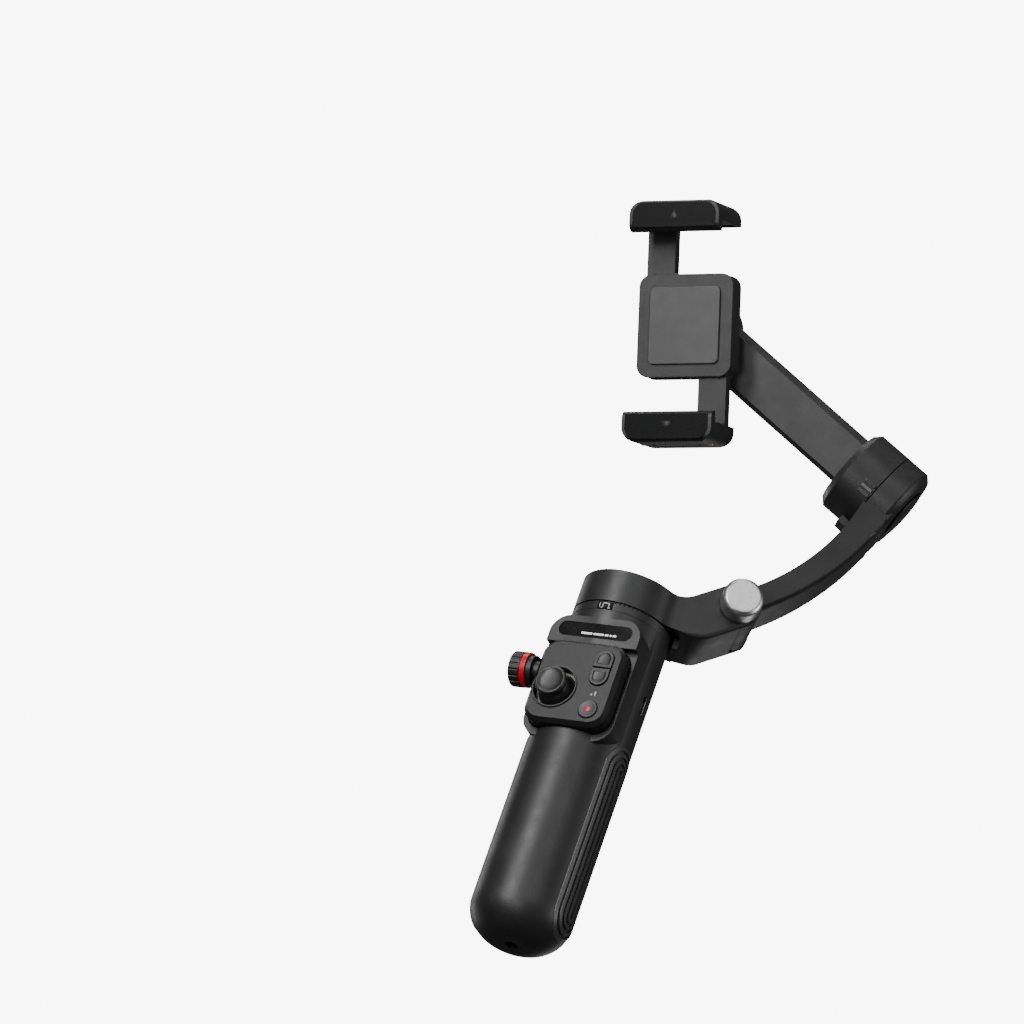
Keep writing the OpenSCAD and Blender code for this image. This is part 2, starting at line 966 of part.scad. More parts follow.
// Folding arm
module main_arm() {
    color([0.10, 0.10, 0.105])
        on_arm()
            union() {
                difference() {
                    union() {
                        at_hinge()
                            x_rod(barrel_r, -barrel_half, barrel_half);
                        intersection() {
                            difference() {
                                translate([0, back_y, back_z])
                                    x_rod(back_r, -arm_w / 2, arm_w / 2);
                                translate([0, arch_y, arch_z])
                                    x_rod(arch_r, -arm_w, arm_w);
                            }
                            translate([-arm_w, -hinge_reach, hinge_z - tilt_r])
                                cube([2 * arm_w, arm_span, tilt_d]);
                        }
                        at_tilt()
                            translate([0, 0, cap_low])
                                chamfered(tilt_r, cap_h, cap_edge);
                        translate([-tilt_stop_w / 2, tilt_y - tilt_r - tick_proud - tilt_stop_t - seam_gap,
                            tilt_z - tilt_stop_h])
                            cube([tilt_stop_w, tilt_stop_t - seam_gap,
                                tilt_stop_h + arch_rise]);
                    }
                    at_hinge() {
                        x_rod(bolt_r + running_gap, -arm_w, arm_w);
                        for (side = [0, 1])
                            mirror([side, 0, 0]) {
                                x_rod(shoulder_r, barrel_half, arm_w);
                                intersection() {
                                    x_rod(crest_r, barrel_half, arm_w);
                                    translate([barrel_half, 0, crest_top - arm_w])
                                        cube([arm_w, arm_w, arm_w]);
                                }
                            }
                    }
                    at_tilt() {
                        translate([0, 0, cap_low - tilt_d])
                            cylinder(r = tilt_r + tick_proud + seam_gap, h = tilt_d);
                        translate([0, 0, cap_low - over])
                            cylinder(r = tilt_cavity_r, h = cap_top - tilt_wall - cap_low + over);
                    }
                }
                at_tilt()
                    translate([0, 0, tilt_boss_low])
                        tube(pan_boss_r, bearing_r, cap_top - tilt_wall / 2 - tilt_boss_low);
            }
}

module tilt_cap_disc() {
    color([0.08, 0.08, 0.085])
        on_arm()
            at_tilt()
                translate([0, 0, cap_top])
                    chamfered(cap_disc_r, cap_disc_t, cap_disc_t / 2);
}

module tilt_stator() {
    color([0.60, 0.36, 0.18])
        on_arm()
            at_tilt()
                translate([0, 0, housing_low + tilt_wall + bulkhead_t + air_gap])
                    stator_core(tilt_cavity_r - magnet_ring_t - air_gap, pan_boss_r, pan_stack_h);
}

module tilt_bearings() {
    color([0.72, 0.73, 0.75])
        on_arm()
            at_tilt()
                for (z = [tilt_boss_low, cap_top - tilt_wall - bearing_h])
                    translate([0, 0, z])
                        tube(bearing_r, shaft_r + running_gap, bearing_h);
}

module tilt_housing() {
    color([0.11, 0.11, 0.115])
        on_tilt()
            difference() {
                union() {
                    translate([0, 0, housing_top])
                        mirror([0, 0, 1])
                            chamfered(tilt_r, housing_h, cap_edge);
                    for (i = [-1, 0, 1])
                        rotate([0, 0, tick_turn + i * tick_step])
                            translate([tilt_r - over, -tick_w / 2, housing_top - tick_h - tick_low])
                                cube([over + tick_proud, tick_w, tick_h]);
                }
                translate([0, 0, housing_low + tilt_wall])
                    cylinder(r = tilt_cavity_r, h = housing_h);
            }
}

module tilt_magnets() {
    color([0.45, 0.46, 0.48])
        on_tilt()
            translate([0, 0, housing_low + tilt_wall + bulkhead_t])
                tube(tilt_cavity_r, tilt_cavity_r - magnet_ring_t, pan_stack_h);
}

module tilt_shaft() {
    color([0.75, 0.76, 0.78])
        on_tilt()
            translate([0, 0, housing_low + tilt_wall])
                cylinder(r = shaft_r, h = cap_top - tilt_wall - over - housing_low - tilt_wall);
}

// Section of the tilt bar, its four long edges cut off
module bar_section() {
    side = bar_w / 2;
    polygon([[-side + bar_edge, 0], [side - bar_edge, 0], [side, bar_edge], [side, bar_t - bar_edge],
        [side - bar_edge, bar_t], [-side + bar_edge, bar_t], [-side, bar_t - bar_edge], [-side, bar_edge]]);
}

module tilt_bar() {
    rise = housing_low - roll_s;
    slope = atan2(bar_foot - bar_front, rise);
    color([0.12, 0.12, 0.125])
        on_tilt()
            difference() {
                intersection() {
                    translate([bar_side, bar_foot, roll_s])
                        rotate([slope, 0, 0])
                            translate([0, 0, -bar_t])
                                linear_extrude(rise + 2 * bar_t)
                                    bar_section();
                    translate([-bar_w, -handle_r, roll_s])
                        cube([2 * bar_w, 2 * handle_r, rise]);
                }
                roll_axis()
                    cylinder(r = roll_r, h = roll_d);
            }
}

// Roll motor
module roll_housing() {
    color([0.11, 0.11, 0.115])
        on_tilt()
            roll_axis()
                difference() {
                    translate([0, 0, roll_front])
                        cylinder(r = roll_r, h = roll_back - roll_front);
                    difference() {
                        cylinder(r = roll_cavity_r, h = roll_back - roll_wall);
                        translate([0, 0, roll_boss_front])
                            cylinder(r = roll_boss_r, h = roll_back);
                    }
                    cylinder(r = roll_bearing_r, h = roll_back - roll_wall);
                }
}

module roll_cap() {
    color([0.09, 0.09, 0.095])
        on_tilt()
            roll_axis()
                translate([0, 0, roll_back])
                    chamfered(roll_cap_r, roll_cap_t, roll_cap_edge);
}

module roll_stator() {
    color([0.60, 0.36, 0.18])
        on_tilt()
            roll_axis()
                translate([0, 0, roll_boss_front + air_gap])
                    difference() {
                        tube(hub_r - roll_magnet_t - air_gap, roll_boss_r, roll_stack);
                        for (i = [0:stator_slots - 1])
                            rotate([0, 0, i * 360 / stator_slots])
                                translate([roll_boss_r + boss_wall, -slot_w / 2, -over])
                                    cube([roll_r, slot_w, roll_stack + 2 * over]);
                    }
}

module roll_bearings() {
    color([0.72, 0.73, 0.75])
        on_tilt()
            roll_axis()
                for (z = [roll_boss_front, roll_back - roll_wall - bearing_h])
                    translate([0, 0, z])
                        tube(roll_bearing_r, roll_shaft_r + running_gap, bearing_h);
}

// Phone clamp, drawn about the roll axis with the phone's side towards -Y
module behind_clamp() {
    on_clamp()
        rotate([-90, 0, 0])
            children();
}

module roll_hub() {
    color([0.30, 0.30, 0.31])
        behind_clamp() {
            cylinder(r = hub_r, h = hub_t);
            cylinder(r = roll_shaft_r, h = roll_back - roll_wall - over);
        }
}

module roll_magnets() {
    color([0.45, 0.46, 0.48])
        behind_clamp()
            translate([0, 0, hub_t])
                tube(hub_r, hub_r - roll_magnet_t, roll_stack);
}

module clamp_frame() {
    color([0.10, 0.10, 0.105])
        on_clamp() {
            difference() {
                front_slab(clamp_w, clamp_h, clamp_corner, 0, clamp_t);
                translate([-clamp_w, -cavity_front, -cavity_half])
                    cube([2 * clamp_w, cavity_front - cavity_back, 2 * cavity_half]);
            }
            front_rod(pinion_pin_r, cavity_back, cavity_front);
        }
}

module clamp_back_pad() {
    color([0.16, 0.16, 0.165])
        on_clamp()
            front_slab(clamp_w - 2 * clamp_corner, clamp_h - 2 * clamp_corner, clamp_corner / 2,
                clamp_t, clamp_t + liner_t);
}

// A tooth with straight flanks: half widths at the root, the pitch line and the tip
module gear_tooth(root_y, tip_y) {
    half_pitch = gear_module * PI / 4 - tooth_backlash / 2;
    polygon([[-half_pitch - (pitch_r - root_y) * flank_share, root_y],
        [half_pitch + (pitch_r - root_y) * flank_share, root_y],
        [half_pitch - (tip_y - pitch_r) * flank_share, tip_y],
        [-half_pitch + (tip_y - pitch_r) * flank_share, tip_y]]);
}

module clamp_pinion() {
    root = pitch_r - tooth_root;
    color([0.80, 0.78, 0.70])
        on_clamp()
            rotate([90, 0, 0])
                translate([0, 0, tongue_mid - pinion_t / 2])
                    difference() {
                        linear_extrude(pinion_t)
                            union() {
                                circle(root);
                                for (i = [0:gear_teeth - 1])
                                    rotate(i * 360 / gear_teeth)
                                        gear_tooth(root - tooth_root / 4, pitch_r + tooth_tip);
                            }
                        translate([0, 0, -over])
                            cylinder(r = pinion_pin_r + running_gap, h = pinion_t + 2 * over);
                    }
}

// A jaw on the +X side: hooked end wall, sliding tongue with its rack, and a mouth that takes the
// other jaw's tongue when the clamp is closed
module jaw() {
    outer = half_gap + liner_t + jaw_wall;
    inner = half_gap - lip_reach;
    rack_base = pitch_r + tooth_root;
    difference() {
        intersection() {
            linear_extrude(jaw_len, center = true)
                difference() {
                    translate([(outer + inner) / 2, -jaw_depth / 2])
                        rounded(outer - inner, jaw_depth, jaw_edge);
                    translate([0, -jaw_depth + lip_t])
                        square([half_gap + liner_t, jaw_depth]);
                }
            translate([(outer + inner - handle_r) / 2, 0, 0])
                front_slab(outer - inner + handle_r, jaw_len, jaw_corner, -over, jaw_depth + over);
        }
        translate([half_gap, -tongue_mid - tongue_t / 2 - slide_gap, -tongue_out - slide_gap])
            cube([mouth_depth, tongue_t + 2 * slide_gap, tongue_out - pitch_r + tooth_tip + 2 * slide_gap]);
    }
    rotate([90, 0, 0])
        translate([0, 0, tongue_mid - tongue_t / 2])
            linear_extrude(tongue_t) {
                translate([half_gap - tongue_len, rack_base])
                    square([tongue_len + liner_t + jaw_wall / 2, tongue_out - rack_base]);
                for (i = [rack_first:rack_last])
                    translate([(i + 0.5) * PI * gear_module, 2 * pitch_r])
                        mirror([0, 1])
                            gear_tooth(pitch_r - tooth_root, pitch_r + tooth_tip);
            }
}

module jaw_liner() {
    translate([half_gap, 0, 0])
        rotate([0, 90, 0])
            linear_extrude(liner_t)
                translate([0, -(jaw_depth - lip_t + phone_seat) / 2])
                    square([jaw_len - 2 * jaw_corner, jaw_depth - lip_t - phone_seat - seam_gap],
                        center = true);
}

module upper_jaw() {
    color([0.10, 0.10, 0.105])
        on_clamp()
            rotate([0, 180, 0])
                jaw();
}

module upper_jaw_pad() {
    color([0.05, 0.05, 0.05])
        on_clamp()
            rotate([0, 180, 0])
                jaw_liner();
}

module accessory_pins() {
    for (side = [-1, 1])
        translate([0, -accessory_mid, side * accessory_pin_z])
            x_rod(accessory_pin_r, half_gap + jaw_wall - accessory_sink, half_gap + jaw_wall + liner_t);
}

module lower_jaw() {
    face = half_gap + liner_t + jaw_wall;
    color([0.10, 0.10, 0.105])
        on_clamp()
            difference() {
                jaw();
                translate([0, -accessory_mid, 0])
                    x_stadium(accessory_w, accessory_h, face - accessory_sink, face + over);
                accessory_pins();
            }
}

module lower_jaw_pad() {
    color([0.05, 0.05, 0.05])
        on_clamp()
            jaw_liner();
}

module accessory_pad() {
    face = half_gap + liner_t + jaw_wall;
    color([0.20, 0.20, 0.205])
        on_clamp()
            translate([0, -accessory_mid, 0])
                x_stadium(accessory_w - 2 * accessory_gap, accessory_h - 2 * accessory_gap,
                    face - accessory_sink, face - seat_gap);
}

module accessory_contacts() {
    color([0.85, 0.62, 0.42])
        on_clamp()
            accessory_pins();
}

// Remote
module remote_slab(shrink, near, far) {
    translate([0, 0, remote_z])
        front_slab(remote_w - 2 * shrink, remote_h - 2 * shrink, remote_r - shrink, near, far);
}

module remote_back() {
    color([0.10, 0.10, 0.105])
        difference() {
            remote_slab(0, remote_back_d, remote_seam_d);
            remote_slab(remote_wall, remote_back_d + remote_wall, remote_seam_d + over);
            dock_pins(contact_r, 0, handle_r);
            dial_seat();
        }
}

module dial_seat() {
    translate([0, -dial_d_mid, dial_z])
        x_rod(dial_neck_r / 2 + running_gap, -handle_r, 0);
}

module key_shape(grow) {
    w = key_w + 2 * grow;
    square([w, key_h - w / 2 + 2 * grow]);
    translate([w / 2, key_h - w / 2 + 2 * grow])
        circle(w / 2 - grow / 100);
}

// The two upper keys mirror each other across the line between them
module key_solid(low, grow, near, far) {
    rotate([90, 0, 0])
        translate([key_x - key_w / 2 - grow, low - grow, near])
            linear_extrude(far - near)
                key_shape(grow);
}

module upper_key_solid(grow, near, far) {
    key_solid((upper_key_z + lower_key_z) / 2 + key_gap, grow, near, far);
}

module lower_key_solid(grow, near, far) {
    line = (upper_key_z + lower_key_z) / 2;
    translate([0, 0, 2 * line])
        mirror([0, 0, 1])
            key_solid(line + key_gap, grow, near, far);
}

module record_solid(grow, near, far) {
    translate([key_x, 0, record_z])
        front_rod(record_d / 2 + grow, near, far);
}

module remote_front() {
    deep = remote_front_d - face_t;
    color([0.10, 0.10, 0.105])
        difference() {
            union() {
                remote_slab(0, remote_seam_d, remote_front_d - face_chamfer);
                hull() {
                    remote_slab(0, remote_front_d - face_chamfer - seat_gap,
                        remote_front_d - face_chamfer);
                    remote_slab(face_chamfer, remote_front_d - seat_gap, remote_front_d);
                }
            }
            remote_slab(remote_wall, remote_seam_d - over, deep);
            translate([stick_x, 0, stick_z])
                front_rod(stick_hole_r, deep - over, remote_front_d + over);
            upper_key_solid(key_gap, deep - over, remote_front_d + over);
            lower_key_solid(key_gap, deep - over, remote_front_d + over);
            record_solid(key_gap, deep - over, remote_front_d + over);
            dial_seat();
        }
}

module remote_board() {
    near = remote_back_d + remote_wall;
    color([0.05, 0.30, 0.18])
        remote_slab(remote_wall + board2_margin, near, near + board2_t);
}

module remote_cell() {
    near = remote_back_d + remote_wall + board2_t;
    color([0.65, 0.66, 0.68])
        translate([key_x, 0, remote_z])
            front_slab(cell2_w, cell2_h, over, near, near + cell2_t);
}

module remote_contacts() {
    color([0.80, 0.66, 0.36])
        dock_pins(contact_r, remote_back_d, remote_back_d + remote_wall);
}

module joystick_ring() {
    color([0.30, 0.30, 0.31])
        translate([stick_x, 0, stick_z])
            rotate([90, 0, 0])
                translate([0, 0, remote_front_d])
                    tube(stick_ring_r, stick_hole_r, stick_ring_t);
}

module stick_yoke() {
    color([0.50, 0.50, 0.52])
        translate([stick_x, 0, stick_z])
            rotate([90, 0, 0])
                translate([0, 0, stick_pivot_d - yoke_t / 2])
                    tube(yoke_r, yoke_inner_r, yoke_t);
}

module joystick() {
    color([0.08, 0.08, 0.085])
        translate([stick_x, 0, stick_z])
            rotate([90, 0, 0]) {
                difference() {
                    translate([0, 0, stick_pivot_d])
                        sphere(stick_ball_r);
                    translate([-handle_r, -handle_r, stick_pivot_d - ball_cut - handle_d])
                        cube([handle_d, handle_d, handle_d]);
                }
                translate([0, 0, stick_pivot_d])
                    cylinder(r = stick_stem_r, h = stick_cap_d - stick_cap_t - stick_pivot_d + over);
                translate([0, 0, stick_cap_d - stick_cap_t])
                    chamfered(stick_d / 2, stick_cap_t, stick_cap_t / 4);
            }
}

module upper_key() {
    top = remote_front_d + key_proud;
    color([0.09, 0.09, 0.095]) {
        upper_key_solid(0, top - key_depth, top);
    }
}

module lower_key() {
    top = remote_front_d + key_proud;
    color([0.09, 0.09, 0.095])
        lower_key_solid(0, top - key_depth, top);
}

module record_key() {
    top = remote_front_d + key_proud;
    color([0.16, 0.16, 0.165])
        record_solid(0, top - key_depth, top);
}

// Focus dial on the remote's -X side
module at_dial(out) {
    translate([-remote_w / 2 - out, -dial_d_mid, dial_z])
        rotate([0, -90, 0])
            children();
}

module dial_shaft() {
    color([0.12, 0.12, 0.125]) {
        at_dial(seat_gap)
            cylinder(r = dial_neck_r, h = dial_neck_len - seat_gap);
        at_dial(dial_neck_len)
            cylinder(r = dial_flange_r, h = dial_flange_len);
        at_dial(-dial_hub_depth)
            cylinder(r = dial_neck_r / 2, h = dial_hub_depth + seat_gap);
    }
}

module dial_ring() {
    color([0.75, 0.03, 0.05])
        at_dial(dial_neck_len + dial_flange_len)
            cylinder(r = dial_r - seat_gap, h = dial_ring_len);
}

module focus_dial() {
    start = dial_neck_len + dial_flange_len + dial_ring_len;
    color([0.06, 0.06, 0.065])
        at_dial(start)
            difference() {
                chamfered(dial_r, dial_reach - start, seam_gap);
                for (i = [0:dial_rib_count - 1])
                    rotate([0, 0, i * 360 / dial_rib_count])
                        translate([dial_r + dial_rib_r / 4, 0, seam_gap])
                            cylinder(r = dial_rib_r, h = dial_reach);
            }
}

handle_shell();
tripod_insert();
inner_frame();
battery_cell();
main_board();
usb_port();
grip_pad_right();
grip_pad_left();
dock_floor();
dock_contacts();
dock_magnets();
display_window();
display_panel();
trigger_pin();
back_trigger();
pan_collar();
pan_stator();
pan_bearings();
pan_shaft();
pan_magnets();
fold_clevis();
hinge_bolt();
lock_knob();
main_arm();
tilt_cap_disc();
tilt_stator();
tilt_bearings();
tilt_housing();
tilt_magnets();
tilt_shaft();
tilt_bar();
roll_housing();
roll_cap();
roll_stator();
roll_bearings();
roll_hub();
roll_magnets();
clamp_frame();
clamp_back_pad();
clamp_pinion();
upper_jaw();
upper_jaw_pad();
lower_jaw();
lower_jaw_pad();
accessory_pad();
accessory_contacts();
remote_back();
remote_front();
remote_board();
remote_cell();
remote_contacts();
joystick_ring();
stick_yoke();
joystick();
upper_key();
lower_key();
record_key();
dial_shaft();
dial_ring();
focus_dial();
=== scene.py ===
import bpy
import bmesh
import json
from math import pi, sin, cos, radians, atan2, hypot
from mathutils import Vector, Matrix


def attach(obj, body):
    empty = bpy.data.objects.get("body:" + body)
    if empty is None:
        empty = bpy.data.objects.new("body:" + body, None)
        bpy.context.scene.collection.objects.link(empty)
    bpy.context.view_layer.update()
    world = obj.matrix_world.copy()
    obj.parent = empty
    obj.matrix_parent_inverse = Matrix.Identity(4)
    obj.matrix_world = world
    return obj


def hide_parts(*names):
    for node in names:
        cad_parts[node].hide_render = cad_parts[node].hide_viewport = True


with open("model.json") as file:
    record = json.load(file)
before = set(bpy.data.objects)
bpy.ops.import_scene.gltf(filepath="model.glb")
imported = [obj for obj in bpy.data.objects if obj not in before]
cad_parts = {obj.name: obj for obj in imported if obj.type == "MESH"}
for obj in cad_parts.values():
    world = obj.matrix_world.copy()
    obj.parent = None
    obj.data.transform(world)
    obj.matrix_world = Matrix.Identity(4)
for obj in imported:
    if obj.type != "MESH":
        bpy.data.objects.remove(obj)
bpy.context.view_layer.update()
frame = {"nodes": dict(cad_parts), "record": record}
mm = 0.001
record = frame["record"]
bodyOf = {n: b for b, names in record["behaviour"]["bodies"].items() for n in names}
slotOf = {row["node"]: row["material_slot"] for row in record["subparts"]}
print("frame loaded")


# Frames of the moving bodies, from the same values as the CAD source
def move(x, y, z):
    return Matrix.Translation((x * mm, y * mm, z * mm))


def turn(axis, degrees):
    return Matrix.Rotation(radians(degrees), 4, axis)


pose = dict(pan=120, fold=117.3, tilt=-54.5, roll=40.8, hingeReach=39.5, hingeZ=161.4,
            motorY=44.25, motorZ=164.2, motorLean=4.1, clampSet=5.7, clampZ=-102, rollLean=13.4)
yokeFrame = turn("Z", pose["pan"])
hingeFrame = yokeFrame @ move(0, -pose["hingeReach"], pose["hingeZ"])
armFrame = hingeFrame @ turn("X", pose["fold"]) @ move(0, pose["hingeReach"], -pose["hingeZ"])
motorFrame = armFrame @ move(0, pose["motorY"], pose["motorZ"]) @ turn("X", -pose["motorLean"])
tiltFrame = motorFrame @ turn("Z", pose["tilt"])
clampFrame = tiltFrame @ move(0, pose["clampSet"], pose["clampZ"])
clampFrame = clampFrame @ turn("X", pose["rollLean"]) @ turn("Y", -pose["roll"])
faceFrame = turn("X", 90)  # local z runs out of the control face, local y up the handle

# Camera at the photograph's angle, and plain studio light
view = dict(centre=Vector((-0.0159, -0.0865, 0.1385)), distance=3.0, lens=278.5, sensor=36,
            farthest=20, turn=28.3, rise=-26.4, roll=19.7)
studio = dict(skyColour=(1, 1, 1), skyStrength=8.5, roomColour=(0.77, 0.77, 0.78), roomStrength=0.085,
              aimAt=Vector((0, 0, 0.16)), floorZ=-0.0005, floorSize=6.0, floorColour=(0.80, 0.80, 0.80),
              floorRough=0.8, floorGlow=5.5)
panels = {
    "keyPanel": dict(at=(-0.43, -1.70, 0.45), size=(0.30, 1.6), power=33),
    "fillPanel": dict(at=(0.95, -1.45, 0.75), size=(0.9, 1.2), power=7),
    "edgePanel": dict(at=(-1.50, 0.75, 0.40), size=(0.35, 1.5), power=5),
    "sidePanel": dict(at=(1.60, 0.35, 0.50), size=(0.35, 1.4), power=4),
    "housingPanel": dict(at=(0.10, -1.10, -0.36), size=(0.25, 0.45), power=2.5),
    "ridgePanel": dict(at=(1.55, 0.20, 0.12), size=(0.30, 0.8), power=5),
    "toePanel": dict(at=(-0.10, 1.30, 0.02), size=(0.7, 0.35), power=0.9),
    "topPanel": dict(at=(-0.2, -0.25, 1.45), size=(0.9, 0.7), power=9),
}


def aimFrame(turnDeg, riseDeg, rollDeg):
    around, rise, roll = radians(turnDeg), radians(riseDeg), radians(rollDeg)
    right = Vector((cos(around), sin(around), 0))
    back = Vector((cos(rise) * sin(around), -cos(rise) * cos(around), sin(rise)))
    up = back.cross(right)
    x = right * cos(roll) + up * sin(roll)
    y = up * cos(roll) - right * sin(roll)
    return Matrix((x, y, back)).transposed()


def placeCamera():
    lens = bpy.data.cameras.new("studioCamera")
    cam = bpy.data.objects.new("studioCamera", lens)
    bpy.context.scene.collection.objects.link(cam)
    facing = aimFrame(view["turn"], view["rise"], view["roll"])
    at = view["centre"] + facing.col[2] * view["distance"]
    cam.matrix_world = Matrix.Translation(at) @ facing.to_4x4()
    lens.lens = view["lens"]
    lens.sensor_width = view["sensor"]
    lens.clip_end = view["farthest"]
    bpy.context.scene.camera = cam


def lightStudio():
    world = bpy.data.worlds.new("studioAir")
    world.use_nodes = True
    tree = world.node_tree
    room = tree.nodes["Background"]
    room.inputs["Color"].default_value = (*studio["roomColour"], 1)
    room.inputs["Strength"].default_value = studio["roomStrength"]
    sky = tree.nodes.new("ShaderNodeBackground")
    sky.inputs["Color"].default_value = (*studio["skyColour"], 1)
    sky.inputs["Strength"].default_value = studio["skyStrength"]
    path = tree.nodes.new("ShaderNodeLightPath")  # the camera sees the sky, the object the dim room
    pick = tree.nodes.new("ShaderNodeMixShader")
    tree.links.new(path.outputs["Is Camera Ray"], pick.inputs["Fac"])
    tree.links.new(room.outputs["Background"], pick.inputs[1])
    tree.links.new(sky.outputs["Background"], pick.inputs[2])
    tree.links.new(pick.outputs["Shader"], tree.nodes["World Output"].inputs["Surface"])
    bpy.context.scene.world = world
    for name, spec in panels.items():
        lamp = bpy.data.lights.new(name, "AREA")
        lamp.shape = "RECTANGLE"
        lamp.size, lamp.size_y = spec["size"]
        lamp.energy = spec["power"]
        box = bpy.data.objects.new(name, lamp)
        bpy.context.scene.collection.objects.link(box)
        box.location = Vector(spec["at"])
        box.rotation_euler = (studio["aimAt"] - box.location).to_track_quat("-Z", "Y").to_euler()


def layFloor():
    mesh = bpy.data.meshes.new("studioFloor")
    bm = bmesh.new()
    bmesh.ops.create_grid(bm, x_segments=1, y_segments=1, size=studio["floorSize"] / 2)
    bmesh.ops.translate(bm, verts=bm.verts, vec=(0, 0, studio["floorZ"]))
    bm.to_mesh(mesh)
    bm.free()
    floor = bpy.data.objects.new("studioFloor", mesh)
    bpy.context.scene.collection.objects.link(floor)
    paper = bpy.data.materials.new("paleFloor")
    paper.use_nodes = True
    tree = paper.node_tree
    shader = tree.nodes["Principled BSDF"]
    shader.inputs["Base Color"].default_value = (*studio["floorColour"], 1)
    shader.inputs["Roughness"].default_value = studio["floorRough"]
    shader.inputs["Emission Color"].default_value = (*studio["floorColour"], 1)
    shader.inputs["Emission Strength"].default_value = studio["floorGlow"]
    side = tree.nodes.new("ShaderNodeNewGeometry")
    clear = tree.nodes.new("ShaderNodeBsdfTransparent")  # seen from under it, the floor is clear
    mix = tree.nodes.new("ShaderNodeMixShader")
    tree.links.new(side.outputs["Backfacing"], mix.inputs["Fac"])
    tree.links.new(shader.outputs["BSDF"], mix.inputs[1])
    tree.links.new(clear.outputs["BSDF"], mix.inputs[2])
    tree.links.new(mix.outputs["Shader"], tree.nodes["Material Output"].inputs["Surface"])
    mesh.materials.append(paper)
    floor.visible_diffuse = False  # no bounce from below, so the foot stays dark
    floor.visible_glossy = False
    floor.visible_shadow = False


placeCamera()
lightStudio()
layFloor()
print("studio ready")

